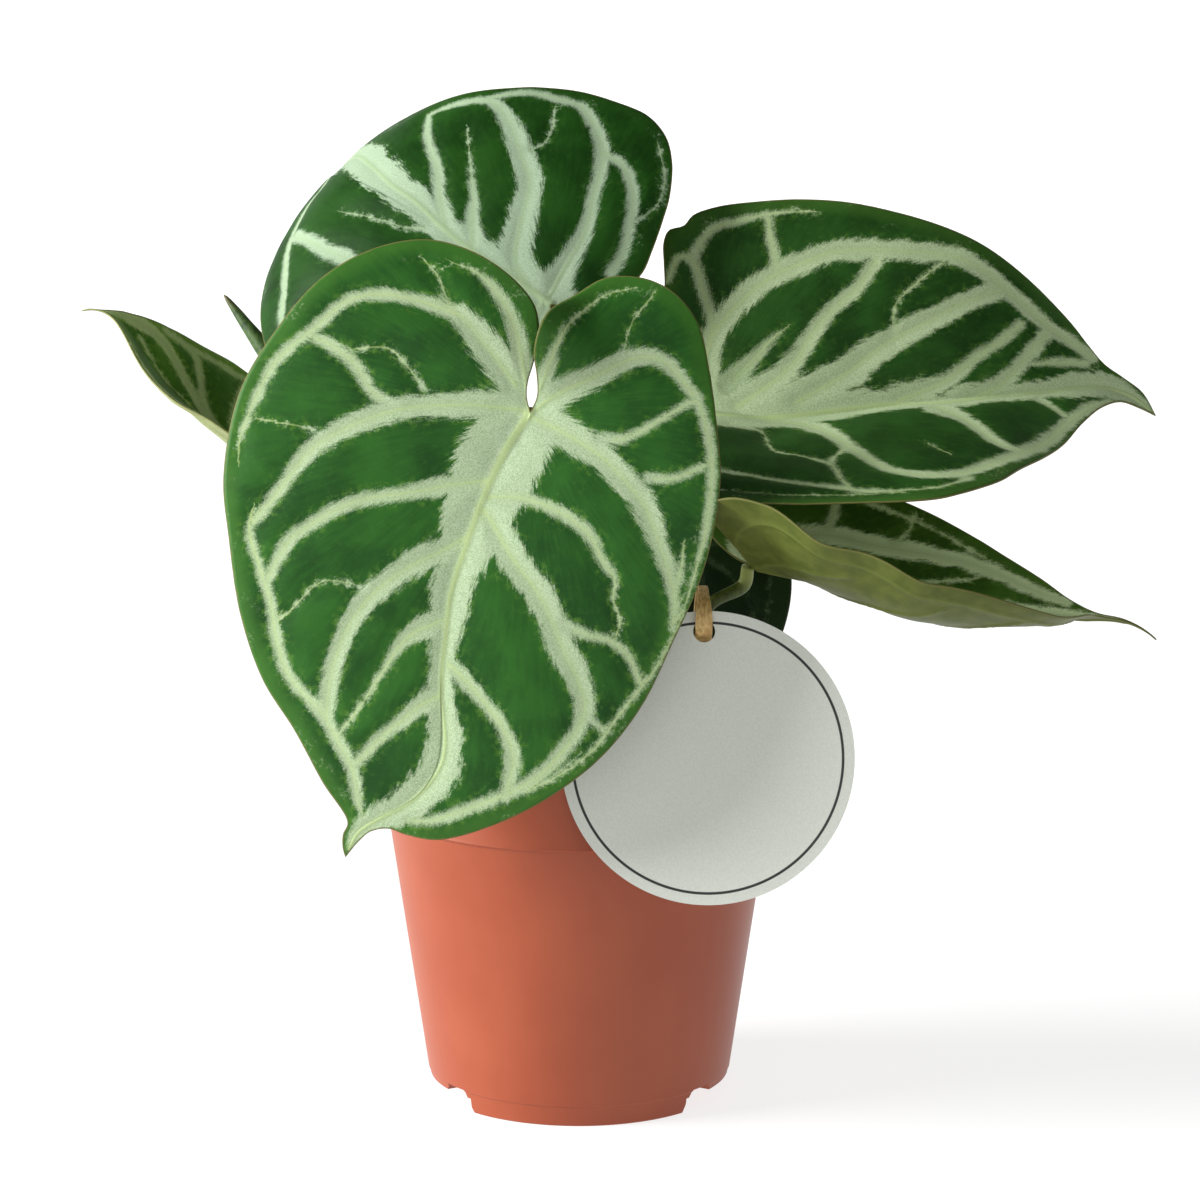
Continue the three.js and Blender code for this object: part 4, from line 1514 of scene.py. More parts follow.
FRONT_VEINS = (
    Vein((
        (0, -0.5, 9), (3, 12.5, 12), (4.5, 28, 10.5), (4.5, 40.5, 8), (4.5, 49.5, 6.5), (4, 55.5, 5.5),
        (2.5, 62.5, 4.8), (-2, 80.5, 3.4), (-8, 95, 5.2), (-8.5, 101.5, 5.8), (-4, 112.5, 5.2),
        (3.5, 120.5, 4), (7.8, 126, 2.4), (9.3, 132, 0.9)
    ), 1.2, 0.4),
    Vein(((1, -2, 5), (8, -14.5, 3), (15, -24.5, 2.2), (23.5, -31, 1.6), (28.5, -33, 1), (36, -33.5, 0.4))),
    Vein(((6.5, -6, 5), (18.5, -14, 4.4), (28, -19.5, 3.2))),
    Vein(((28, -19.5, 1.2), (33, -23, 0.9), (38, -28.5, 0.7), (43, -31.5, 0.4)), 0),
    Vein((
        (28, -19.5, 2.4), (41.5, -19.5, 2), (51, -18, 2), (59.5, -13, 1.8), (64.5, -4, 1.8), (69, 3, 1.8),
        (72.5, 9.5, 1.7), (74, 19.5, 1.5), (74.5, 32.5, 0.9), (73, 39, 0.2)
    ), 0.3),
    Vein((
        (64.5, 50, 0.3), (63.5, 56, 1.4), (57.5, 64.5, 1.6), (51.5, 72.5, 1.6), (46, 82.5, 1.8),
        (41, 89.5, 1.7), (34.5, 94, 1.8), (27.5, 97.5, 2), (22.5, 102, 2), (14.5, 109.5, 2),
        (10.5, 117, 1.6), (8.5, 120, 1)
    ), 0.3),
    Vein((
        (1, -0.5, 6), (8.5, 1.5, 5), (16.5, 3.5, 4), (24.5, 6.5, 3.4), (34.5, 11, 3.2), (44, 18, 3.2),
        (50.5, 24.5, 3), (54.5, 30, 2.6), (57.5, 38, 2.2), (60, 46, 1.8), (63, 53.5, 1.4)
    )),
    Vein((
        (37, 10.5, 1.8), (43.5, 9, 1.8), (47.5, 5.5, 1.8), (52, 2.5, 1.8), (59.5, 0, 1.8), (64, -0.5, 1.6)
    ), 0),
    Vein(((30, 3.5, 0.9), (37.5, -1.5, 0.8), (43.5, -4, 0.7), (53.5, -0.5, 0.6)), 0),
    Vein(((56, 24, 0.8), (61, 24.5, 0.6), (71.5, 26, 0.5)), 0),
    Vein((
        (5.5, 22, 4.5), (14.5, 26.5, 3), (24, 32, 2.2), (34, 37, 2), (41, 42, 2), (47.5, 49.5, 2),
        (51.5, 55, 2), (54, 67.5, 1.6)
    )),
    Vein((
        (4.5, 37.5, 5), (11, 45, 3.8), (17.5, 51.5, 3.6), (23.5, 60, 3.4), (27, 68, 3), (28.5, 76.5, 2.8),
        (28.5, 84.5, 2.6), (27.5, 92, 2.6), (25.5, 99, 2.4)
    )),
    Vein(((28.5, 61, 0.8), (34.5, 61.5, 0.7), (39.5, 63.5, 0.7), (45, 73.5, 0.6), (47.5, 77.5, 0.6)), 0),
    Vein(((5, 63.5, 4.2), (9, 67, 3), (12, 71, 2.2), (15, 81.5, 1.2), (18, 92.5, 1), (21.5, 102, 1))),
    Vein(((-2.5, 82, 4), (2, 86.5, 3), (5.5, 92, 2.2), (9.5, 98.5, 1.8), (14, 107.5, 1.8))),
    Vein(((-0.5, -7, 3), (-1.5, -18, 1.2), (-3, -28, 0.8), (-8, -39, 0.6), (-14, -43.5, 0.4)), 0.3),
    Vein((
        (0, 0, 6), (-6, -7.5, 4), (-12.5, -14, 3.5), (-23.5, -25, 2.8), (-30.5, -26, 2.4), (-37, -22.5, 2),
        (-43, -18, 1.8), (-51.5, -5, 1.6), (-56.5, 12.5, 1.4), (-58, 28, 1), (-58.5, 40.5, 0.9)
    )),
    Vein(((-18.5, -25, 0.9), (-18, -34, 0.5), (-20.5, -44, 0.5)), 0),
    Vein(((-21, 1, 1.8), (-27.5, -1.5, 1.5), (-33, -7.5, 1.3), (-41.5, -18, 1.3)), 0),
    Vein((
        (-1, 1, 6), (-8, 2, 5), (-17.5, 4, 4.4), (-24, 6, 3.8), (-32.5, 10.5, 3.8), (-38, 14, 3.6),
        (-43, 19.5, 3.2), (-47.5, 25, 2.6), (-52, 31, 2), (-55.5, 37.5, 1.6), (-57, 44, 1.2)
    )),
    Vein(((-54.5, 33.5, 1.4), (-54, 28, 1.2), (-52.5, 21, 0.6)), 0),
    Vein(((-37, 7, 1.6), (-44, 4.5, 1.4), (-52, -3, 1.2)), 0),
    Vein((
        (3.5, 26, 3), (-5.5, 23.5, 1.9), (-14.5, 23.5, 1.8), (-22, 25, 1.9), (-28, 28, 1.7), (-33, 33, 1.5),
        (-37.5, 36.5, 1.2), (-39, 42, 0.9), (-42.5, 46.5, 0.7), (-43, 51.5, 0.6)
    ), 0.25),
    Vein((
        (4, 29, 5), (-2, 34, 4.6), (-9.5, 40.5, 4.2), (-17.5, 46, 4), (-24, 52, 4), (-29.5, 58.5, 4),
        (-36, 65, 3.6), (-41, 72, 3), (-41.5, 77.5, 2.4), (-40, 84, 2)
    )),
    Vein((
        (-40, 84, 2), (-36.5, 92.5, 2), (-32.5, 98, 1.9), (-28, 102.5, 1.8), (-20, 109, 1.8),
        (-10.5, 116, 1.5), (-5, 118, 1.2)
    ), 0.3),
    Vein(((-43.5, 75, 1.4), (-48.5, 78, 1), (-45.5, 86, 0.9), (-40.5, 92.5, 0.9), (-34, 99, 0.9)), 0),
    Vein(((-28, 53, 1.8), (-36, 53.5, 1.5), (-42, 53, 1.4), (-47.5, 55, 1.4), (-53.5, 61, 1.3)), 0),
    Vein((
        (-58.5, 40.5, 0.9), (-57.5, 49, 0.9), (-56, 57, 1.1), (-53.5, 64, 1.1), (-51, 71, 1), (-49, 78, 1),
        (-46.5, 84, 0.9), (-42.5, 89.5, 0.8)
    ), 0.25),
    Vein((
        (-2, 73.5, 2.4), (-7.5, 76, 2.2), (-15, 80.5, 2), (-22, 85.5, 2), (-27, 92, 2.3), (-28, 102.5, 2)
    )),
)

BACK_SHAPE = BladeShape(
    base=(-8, 5, 234),
    heading=160,
    rise=33,
    roll=-62,
    bend=((-30, -20), (0, 0), (55, 15), (95, 58), (135, 100)),
    fold=((-60, 0, 0), (0, 4, 4), (60, 2, 2)),
    curl=((0, -45, -45),),
    lifts=(Lift(1, 26, 92, 26, -3),),
    right=(
        (0, 0), (6, -8), (14, -13), (24, -15), (32, -13), (42, -9.5), (50, -6), (60, 1), (67, 9), (70, 19),
        (68, 30), (64, 42), (58, 52), (50, 63), (42, 75), (33, 88), (23, 101), (12, 113), (5, 123), (0, 137),
    ),
    left=(
        (0, 0), (-4, -4.5), (-12, -6), (-20, -4.5), (-28, -4.5), (-37, -8), (-47, -11), (-57, -9),
        (-64.5, -2), (-68.8, 10), (-70, 28), (-68.8, 46), (-64.4, 62.5), (-59, 76), (-50, 90), (-38.5, 101),
        (-25.5, 110.5), (-13, 118), (-5, 125), (0, 137),
    ),
)
BACK_VEINS = (
    Vein((
        (0.5, 0.5, 8), (0, 19, 6), (0, 35, 5.2), (1, 43.5, 5), (3, 55, 4.8), (3.5, 65, 5.2), (6, 78, 6.4),
        (9.5, 103.5, 5), (5, 122, 1.2)
    ), 1.1, 0.4),
    Vein(((1, 41, 4.4), (7.5, 49, 2.4), (15, 56.5, 2), (19.5, 64, 1.6), (25, 73, 1.5), (30.5, 80, 1.2))),
    Vein(((0, 30, 5), (7.5, 36, 2.4), (13, 40, 1.6), (20.5, 47.5, 0.9), (31, 59, 0.5)), 0.3),
    Vein((
        (-0.5, 4, 7), (4.5, 17, 5.6), (14.5, 23, 4.6), (26.5, 29.5, 4), (34.5, 40, 3.6), (41, 51, 2.9),
        (43.5, 62, 2), (38.5, 71, 1.6), (31, 80, 1.4)
    )),
    Vein(((34, 39.5, 1), (39.5, 36, 0.8), (46, 37.5, 0.8), (53.5, 43, 0.6)), 0),
    Vein((
        (1, 2, 6.5), (11.5, 4, 3.8), (23, 6, 2.5), (35.5, 12, 2.1), (48.5, 19, 2.4), (54, 26, 2.3),
        (59, 36.5, 2), (57, 44, 1.7), (53.5, 53.5, 1.5), (44, 64, 1.3)
    )),
    Vein((
        (48.5, 19, 2), (49, 12, 2), (43, 3, 2), (34.5, -2.5, 1.9), (25, -7, 1.8), (18.5, -7.5, 1.8)
    ), 0.3),
    Vein(((34.5, -2.5, 0.8), (44, -5, 0.8), (53, -1.5, 0.8), (62.5, 8.5, 0.7)), 0),
    Vein((
        (-0.5, 12, 5), (-14, 28, 3.4), (-27.5, 44, 2.8), (-23, 60.5, 2.8), (-23.5, 70, 2.6),
        (-23, 92.5, 2.2)
    )),
    Vein(((1, 43.5, 2), (-5, 51, 1), (-7.5, 60.5, 0.8), (-11, 75.5, 0.6)), 0),
    Vein((
        (7, 110.5, 1.6), (-3.5, 102.5, 1.6), (-11.5, 101.5, 1.7), (-26, 94, 1.7), (-39.5, 81, 1.8),
        (-49.5, 73.5, 1.8), (-58, 58, 1.6), (-61, 38, 1.5), (-59, 18, 1.5), (-50, 2, 1.4), (-38, -2, 1.2)
    ), 0.3),
    Vein(((-0.5, 2, 5), (-14, 4, 3.4), (-30, 10, 3), (-44, 20, 2.6), (-55, 33, 2))),
    Vein(((0, 22, 4), (-16, 44, 2.4), (-32, 60, 2), (-44, 70, 1.6))),
    Vein(((0, 0, 5), (-12, -1, 2), (-26, 1, 1.6), (-38, -2, 1.2)), 0.3),
)

RIGHT_SHAPE = BladeShape(
    base=(36, 5, 203),
    heading=0,
    rise=4,
    roll=40,
    bend=((-40, -10), (0, 0), (60, 6), (110, 20), (150, 45)),
    fold=((-60, 24, 22), (0, 26, 26), (80, 24, 24), (130, 10, 10)),
    curl=((0, -14, -5),),
    midline=((0, 0), (25, 5), (60, 0), (100, -8), (125, -17), (146, -15)),
    right=(
        (0, 0), (5, -8), (18, -15), (35, -17), (50, -13), (61, -5), (66, 5), (67, 20), (68, 34), (69, 50),
        (67.5, 60), (64, 66), (59.2, 72.2), (53.3, 78.4), (43.5, 85.6), (32.5, 94.3), (20.7, 102.9),
        (4.8, 112.8), (-6.4, 121.7), (-12.9, 130.3), (-14, 137), (-14.8, 144.5),
    ),
    left=(
        (0, 0), (-6, -6), (-18, -9), (-30, -9), (-40.5, -7.5), (-48, -7.2), (-54.6, -6.8), (-58.6, -5),
        (-59.6, -1), (-63, 2), (-65, 9), (-65.4, 21), (-65.6, 33), (-64.7, 47), (-61.8, 62), (-57, 79),
        (-52, 91), (-44.6, 104), (-37.2, 113.8), (-30.4, 120.4), (-26, 125.4), (-23.6, 132), (-20.8, 139.5),
        (-14.8, 144.5),
    ),
)
RIGHT_VEINS = (
    Vein((
        (-1.5, -1, 9), (4, 5.5, 10), (4.5, 17, 8.5), (4, 29, 7), (2, 43.5, 6), (0, 58.5, 4.8),
        (0, 73.5, 4.2), (-5, 89.5, 4), (-10, 106, 4.2), (-15, 119, 5.6), (-17.5, 128, 5.2),
        (-17.5, 136, 3.4), (-15, 143, 1.2)
    ), 1.1, 0.4),
    Vein((
        (-11, 2, 2), (-20.5, 3.5, 2.2), (-26.5, 5, 2), (-38.5, 3, 1.8), (-47.5, 1, 1.7), (-49.5, -2.5, 1.4),
        (-42, -6.5, 1.2)
    ), 0.3),
    Vein((
        (-47.5, 1, 1.7), (-51.5, 2.5, 1.7), (-57.5, 7, 1.6), (-59.5, 15.5, 1.4), (-61, 25.5, 1.1),
        (-61.5, 36, 0.6)
    ), 0),
    Vein((
        (-6.5, 1.5, 5), (-19, 3.5, 4), (-27, 8, 3.8), (-34, 15, 3.8), (-40.5, 24, 3.7), (-44.5, 33, 3.6),
        (-48, 42, 3.6), (-49, 52, 3.5), (-49, 64, 3.4), (-49, 75.5, 3.3), (-45.5, 85.5, 3.2),
        (-39, 95, 3.2), (-33, 105, 3), (-29, 115, 2.8), (-27, 120.5, 2.6)
    )),
    Vein(((-40.5, 24, 2.4), (-45, 24.5, 1.9), (-53, 23.5, 1.5), (-59, 23.5, 1.4)), 0),
    Vein((
        (-0.5, 11, 6), (-6, 20.5, 4.2), (-13, 28.5, 3), (-21, 33.5, 2.5), (-29, 40, 2.2), (-35.5, 47, 2.2),
        (-45, 53.5, 2.2)
    )),
    # Shine below 1 dims this vein's silver as painted shade.
    Vein(((-7, 8, 4.5), (-14, 16, 2.4), (-20, 22, 1.3), (-23.5, 26.5, 0.8)), 0, shine=0.75),
    Vein((
        (0, 28, 7), (-8.5, 42.5, 5), (-18.5, 55, 4.1), (-27, 68.5, 3.6), (-33, 77.5, 3.3), (-41, 91, 3.2)
    )),
    Vein(((-19.5, 57.5, 1.2), (-23, 57.5, 0.9), (-31.5, 59, 0.9), (-37.5, 64, 0.9), (-46, 72.5, 0.9)), 0),
    Vein(((-1, 58, 5), (-8, 72.5, 2.6), (-16.5, 82, 1.9), (-23.5, 90, 1.6), (-30.5, 96.5, 1.7)), 0.3),
    Vein(((-1, 76, 5), (-9, 89.5, 3), (-19, 97.5, 2.4), (-29.5, 105, 2.4)), 0.3),
    # Shine below 1 dims this vein's silver as painted shade.
    Vein((
        (11, 8, 2.6), (13, 12, 2), (15.5, 16.5, 1), (25.5, 18, 0.8), (30.5, 19.5, 0.8), (34, 26, 0.8),
        (41.5, 34, 1.2), (52.5, 36, 1.1), (58.5, 38, 1.2)
    ), 0, shine=0.85),
    Vein(((41, 33.5, 1), (33, 37.5, 1), (29.5, 40.5, 1.4)), 0),
    Vein((
        (6, 18, 6), (10, 28.5, 4.4), (17, 35, 3.4), (29.5, 40.5, 2.6), (40, 45, 2.2), (48, 49.5, 2.2),
        (52.5, 57.5, 2.3), (52.5, 65, 2.3), (48, 72.5, 2.3), (41, 80, 2.4), (34, 87, 2.6), (22.5, 97, 2.6),
        (8.5, 106.5, 2.3), (-4, 117, 2), (-10.5, 125.5, 1.8)
    )),
    Vein(((4, 69, 5), (13, 75.5, 3.2), (23, 79.5, 2.5), (30.5, 83.5, 2.4), (32, 87.5, 2.4))),
    Vein(((-4.5, 101.5, 2.4), (-0.5, 104.5, 1.5), (3.5, 107.5, 1.5)), 0),
    # Shine below 1 dims this vein's silver as painted shade.
    Vein((
        (40, 1, 0.8), (45, 3.5, 1.3), (49.5, 14, 1.3), (53.5, 24.5, 1.3), (58, 35, 1.5), (61.5, 42.5, 1.5),
        (62, 50.5, 1), (60, 61.5, 0.9), (54, 70, 1.4)
    ), 0, shine=0.85),
    # Shine below 1 dims this vein's silver as painted shade.
    Vein((
        (58, 2.5, 0.4), (61, 18.5, 0.4), (62.5, 32, 0.4), (63.5, 40, 0.5), (63.5, 50.5, 0.4)
    ), 0, shine=0.8),
    Vein(((30, 61.5, 0.5), (33.5, 64, 0.8), (37.5, 67, 0.5)), 0),
    Vein(((-17.5, 99.5, 0.9), (-21, 109, 1.6), (-23.5, 118.5, 1.6)), 0),
)

LOW_SHAPE = BladeShape(
    base=(48.5, -36, 164),
    heading=-2,
    rise=-12,
    roll=10,
    bend=((-40, -5), (0, 0), (30, 1), (70, -8), (104, -8), (120, 34)),
    fold=(
        (-40, 34, 38), (0, 34, 31), (18, 33, 7), (32, 33, -3), (50, 32, -12.5), (86, 30, -1), (104, 30, 30),
    ),
    curl=((0, 0, 60), (30, 0, 140), (86, 0, 140), (104, 0, 0)),
    right=(
        (0, 0), (5, -1), (12, -4), (19, -8.5), (26, -13), (33, -14), (38, -9.5), (41.5, -1), (44, 7),
        (46, 16.5), (47.8, 28), (49.6, 40), (48, 56), (42.5, 70), (31.5, 84), (14.5, 96), (3.5, 102),
        (0, 119),
    ),
    left=(
        (0, 0), (-2, -5), (-8, -12), (-18, -16), (-29, -13), (-36, -4), (-38, 8), (-38, 22), (-36.5, 34),
        (-35, 43), (-31.5, 54), (-25, 67), (-21, 73), (-13, 84.5), (-6, 93), (-2, 100.5), (-1, 108), (0, 119),
    ),
)
LOW_VEINS = (
    Vein(((0, 0, 6), (0, 20, 5), (0, 45, 4), (0, 70, 3.4), (0, 90, 2.6), (0, 108, 0.8)), 1, 0.4),
    Vein((
        (-1, 2, 6), (-9, 8, 4.4), (-16, 18, 3.8), (-17, 36, 3.6), (-17.5, 51, 3.3), (-16, 65, 3),
        (-12.5, 74, 2.7), (-8, 83, 2.3), (-5, 91.5, 1.9)
    )),
    Vein(((-16.5, 20, 1.6), (-24, 21.5, 1.5), (-31, 21.5, 1.3)), 0),
    Vein(((-3, 42, 1.6), (-7, 51, 1), (-10.5, 64, 0.8), (-12.5, 70, 0.6)), 0.2),
    Vein(((-17, 38, 1), (-24, 44, 1), (-31, 46, 0.8)), 0),
    Vein((
        (-2, -2, 4), (-12, -6, 1.8), (-24, -6, 1.4), (-32, 2, 1.3), (-33, 18, 1.2), (-31, 36, 1.1),
        (-27, 52, 1), (-19, 68, 0.9)
    ), 0.25),
    Vein(((1, 2, 5), (12, 6, 3), (26, 14, 2.4), (36, 26, 2))),
    Vein(((0, 18, 4), (14, 28, 2.4), (28, 42, 2), (38, 54, 1.6))),
    Vein(((0, 40, 4), (12, 52, 2.2), (24, 66, 1.8), (28, 78, 1.4))),
    Vein((
        (2, -1, 4), (14, -5, 2), (28, -4, 1.6), (38, 6, 1.5), (42, 24, 1.4), (44, 42, 1.4), (41, 60, 1.3),
        (30, 78, 1.2), (12, 92, 1)
    ), 0.3),
    Vein(((0, 66, 3), (8, 78, 1.8), (14, 90, 1.2)), 0.3),
)

LEFT_SHAPE = BladeShape(
    base=(-83.5, -6, 181.2),
    heading=180,
    rise=34,
    roll=-10,
    bend=((-40, -5), (0, 0), (30, -6), (60, -26), (70, -18), (86, 70)),
    fold=((-60, 24, 14), (0, 24, 14), (32, 23, 14), (46, 16, 14), (64, 9, 14)),
    curl=((0, 0, 0),),
    right=(
        (0, 0), (2, -5), (7, -12), (16, -17), (26, -15), (33, -8), (37, 4), (38, 18), (36.5, 30), (35, 38),
        (28.6, 49), (23.6, 56), (17.6, 62), (11.6, 67), (5.6, 71.5), (0.5, 76.5), (0, 82.5),
    ),
    left=(
        (0, 0), (-2, -5), (-6, -12), (-14, -17), (-23, -15), (-29.5, -8), (-33, 4), (-33.5, 18), (-31.6, 31),
        (-26.8, 43), (-20, 53), (-13, 62), (-6, 69), (-1.5, 75.5), (0, 82.5),
    ),
)
LEFT_VEINS = (
    Vein((
        (0, 0, 3), (1, 14, 2.4), (2, 24.5, 2), (5, 36, 2), (8.5, 42.5, 2.1), (11.5, 50, 2.4),
        (12.5, 56, 2.6), (11, 62, 2.8), (5, 69, 2.6), (1, 76, 1.6), (0, 81, 0.6)
    ), 0.5, 0.2),
    Vein(((2, 30, 0.6), (2, 36.5, 0.6), (2, 45, 0.7), (1.5, 51.5, 0.9), (2.5, 57, 1), (3.5, 63, 1.2))),
    Vein(((3, 30, 1.8), (10, 37.5, 1.6), (16.5, 42, 1.6), (22, 47.5, 1.7), (21, 53.5, 1.6), (17, 60, 1.4))),
    Vein((
        (34, 16, 1.4), (33.5, 26, 1.4), (31, 35.5, 1.5), (28, 42.5, 1.5), (24, 49, 1.4), (18, 58, 1.2)
    ), 0.2),
    Vein(((4, 20, 3), (10, 24.5, 2.8), (20, 27, 2.6), (29, 29, 2))),
    Vein(((1, 4, 3), (12, 8, 2), (22, 14, 1.8), (30, 22, 1.6))),
    # Shine above 1 paints this margin strip full silver, as painted light along the lit edge.
    Vein((
        (-4, 70, 0.5), (-10, 62, 0.9), (-16, 54, 1.5), (-21, 46.5, 2), (-26, 38, 2.4), (-30, 28, 2.4),
        (-31, 12, 2)
    ), 0, shine=2.2),
    Vein(((-1, 6, 2), (-9, 14, 1), (-16, 24, 0.8), (-18, 36, 0.6))),
    Vein(((-1, 0, 3), (-12, -4, 1.6), (-22, 2, 1.4), (-25, 12, 1.2)), 0.2),
)

SHADE_SHAPE = BladeShape(
    base=(35, -5, 164),
    heading=-80,
    rise=-66,
    roll=0,
    bend=((-12, 0), (0, 0), (30, 8), (54, 22)),
    fold=((0, 6, 6),),
    curl=((0, -20, -20),),
    right=(
        (0, 0), (1.5, -4), (6, -10), (13, -12), (20, -9), (25, -2), (26.6, 8), (25, 18), (20.8, 29), (14, 39),
        (7, 46), (2, 49.5), (0, 54),
    ),
    left=(
        (0, 0), (-1.5, -4), (-6, -10), (-13, -12), (-20, -9), (-25, -2), (-27, 8), (-26, 18), (-22, 29),
        (-15, 39), (-7, 46), (-2, 49.5), (0, 54),
    ),
)
SHADE_VEINS = (
    Vein(((0, 0, 1.6), (0, 18, 1), (0, 36, 0.7), (0, 50, 0.3)), 0.6, 0.2),
    Vein(((0, 2, 1.4), (8, 8, 0.7), (14, 18, 0.6), (15, 30, 0.5))),
    Vein(((0, 2, 1.4), (-8, 8, 0.7), (-14, 18, 0.6), (-15, 30, 0.5))),
    Vein(((1, 0, 1.2), (12, -2, 0.6), (20, 6, 0.5), (19, 20, 0.5), (12, 34, 0.4)), 0.2),
    Vein(((-1, 0, 1.2), (-12, -2, 0.6), (-20, 6, 0.5), (-19, 20, 0.5), (-12, 34, 0.4)), 0.2),
)

BLADES = (
    Blade("front", "leaf_front", FRONT_SHAPE, FRONT_VEINS),
    Blade("back", "leaf_back", BACK_SHAPE, BACK_VEINS, shine=0.95, tone=BACK_SHADE_TONE),
    Blade("right", "leaf_right", RIGHT_SHAPE, RIGHT_VEINS, shine=0.92, tone=RIGHT_LIGHT_SHADE_TONE),
    Blade(
        "low",
        "leaf_low",
        LOW_SHAPE,
        LOW_VEINS,
        rows=150,
        columns=56,
        quilt=0.15,
        shine=0.95,
        tone=LOW_LIGHT_TONE,
    ),
    Blade(
        "left",
        "leaf_left",
        LEFT_SHAPE,
        LEFT_VEINS,
        rows=110,
        columns=44,
        shine=0.7,
        tone=TENDER_LIGHT_TONE,
        under=LIT_UNDER,
    ),
    # The shade blade's silver is cut to a tenth: painted shade.
    Blade("shade", "leaf_shade", SHADE_SHAPE, SHADE_VEINS, rows=80, columns=32, shine=0.1, tone=PAINTED_SHADE_TONE),
)


# Stalks
@dataclass
class Stalk:
    """One leaf stalk: a sheathed foot, a slender length and a swollen joint under its blade."""

    name: str
    radius: float
    route: tuple[Triple, ...]
    shape: BladeShape | None = None
    segments: int = 20
    steps: int = 90
    seat: float = 0.35
    joint_backs: Triple = (5.85, 0.5, 0.0)
    slender: float = 0.94
    foot_gain: float = 0.55
    foot_reach: float = 9
    joint_gain: float = 0.14
    joint_from_blade: float = 7
    joint_reach: float = 5
    oval: float = 0.92
    start_up: Triple = (0.3, 1, 0.1)

    def path(self) -> np.ndarray:
        """Works out the stalk's line from its foot to its blade.

        Returns:
            One point for each ring.
        """
        points = list(self.route)
        if self.shape is not None:
            surface = BladeSurface(self.shape)
            zero = np.zeros(1)
            normal = surface.normals(zero, zero + 0.01, zero + 0.01)[0]
            base = np.array(self.shape.base, float)
            points += [tuple(base - normal * (self.seat + back)) for back in self.joint_backs]
        return at_lengths(centripetal(points), np.linspace(0, 1, self.steps))

    def build(self, finish: Material) -> None:
        """Makes the stalk.

        Args:
            finish: Its finish.
        """
        path = self.path()
        length = float(arc_lengths(path)[-1])
        bm = bmesh.new()
        sections = []
        for i, place in enumerate(frames_along(path, Vector(self.start_up))):
            from_foot = i / (len(path) - 1) * length
            from_joint = length - from_foot - self.joint_from_blade
            size = self.slender + self.foot_gain * bell(from_foot, self.foot_reach)
            if self.shape is not None:
                size += self.joint_gain * bell(from_joint, self.joint_reach)
            sections.append((place, self.radius * size, self.radius * size * self.oval))
        loft(bm, sections, self.segments)
        made = finished(f"stalk_{self.name}", bm, [finish])
        layer = made.data.attributes.new("grown", "FLOAT", "POINT")
        co = np.empty(len(made.data.vertices) * 3, np.float32)
        made.data.vertices.foreach_get("co", co)
        layer.data.foreach_set("value", grown_at(co.reshape(-1, 3) / MM, path).astype(np.float32))
        settle(made, Slot.STALK, f"petiole_{self.name}")


def grown_at(points: np.ndarray, path: np.ndarray) -> np.ndarray:
    """Gives each point's share of the way along a path, from 0 to 1."""
    gaps = np.linalg.norm(points[:, None, :] - path[None, :, :], axis=2)
    return np.argmin(gaps, axis=1) / (len(path) - 1)


@dataclass
class YoungLeaf:
    """A furled blade on a straight stalk, leaning out to the left and back."""

    root: Triple = (-6, 5, 104.5)
    tip: Triple = (-109, 56, 232.6)
    length: float = 95
    stalk_radius: float = 1.6
    seat: float = 0.2
    turns: float = 1.1
    fold: float = 0.275
    fold_width: float = 0.035
    fold_from: float = 4
    wrap: float = 0.12
    steps: int = 80
    segments: int = 48
    profile: tuple[Pair, ...] = (
        (1.8, 0), (2.4, 2), (3.4, 10), (4.6, 24), (4.9, 40), (4.2, 58), (3, 74), (1.5, 88), (0.6, 94),
        (0.2, 95),
    )

    def build(self, leaf: Material, stalk: Material) -> None:
        """Makes the furled blade and its stalk.

        Args:
            leaf: The blade's finish.
            stalk: The stalk's finish.
        """
        root, tip = Vector(self.root), Vector(self.tip)
        axis = (tip - root).normalized()
        base = tip - axis * self.length
        turned = Vector((0, 0, 1)).rotation_difference(axis).to_matrix().to_4x4()
        bm = bmesh.new()
        turn_about(bm, self.profile, self.steps, self.segments)
        for vert in bm.verts:
            angle = math.atan2(vert.co.y, vert.co.x)
            swirl = (angle / FULL_TURN + self.turns * vert.co.z / self.length) % 1.0
            deep = min(1, math.hypot(vert.co.x, vert.co.y) / self.fold_from)
            shrink = 1 - self.fold * bell(min(swirl, 1 - swirl), self.fold_width) * deep
            shrink *= 1 - self.wrap * swirl
            vert.co.x *= shrink
            vert.co.y *= shrink
        bmesh.ops.transform(bm, matrix=Matrix.Translation(base) @ turned, verts=bm.verts)
        settle(finished("blade_young", bm, [leaf]), Slot.YOUNG_LEAF, "leaf_young")
        Stalk("young", self.stalk_radius, (self.root, tuple(base - axis * self.seat))).build(stalk)


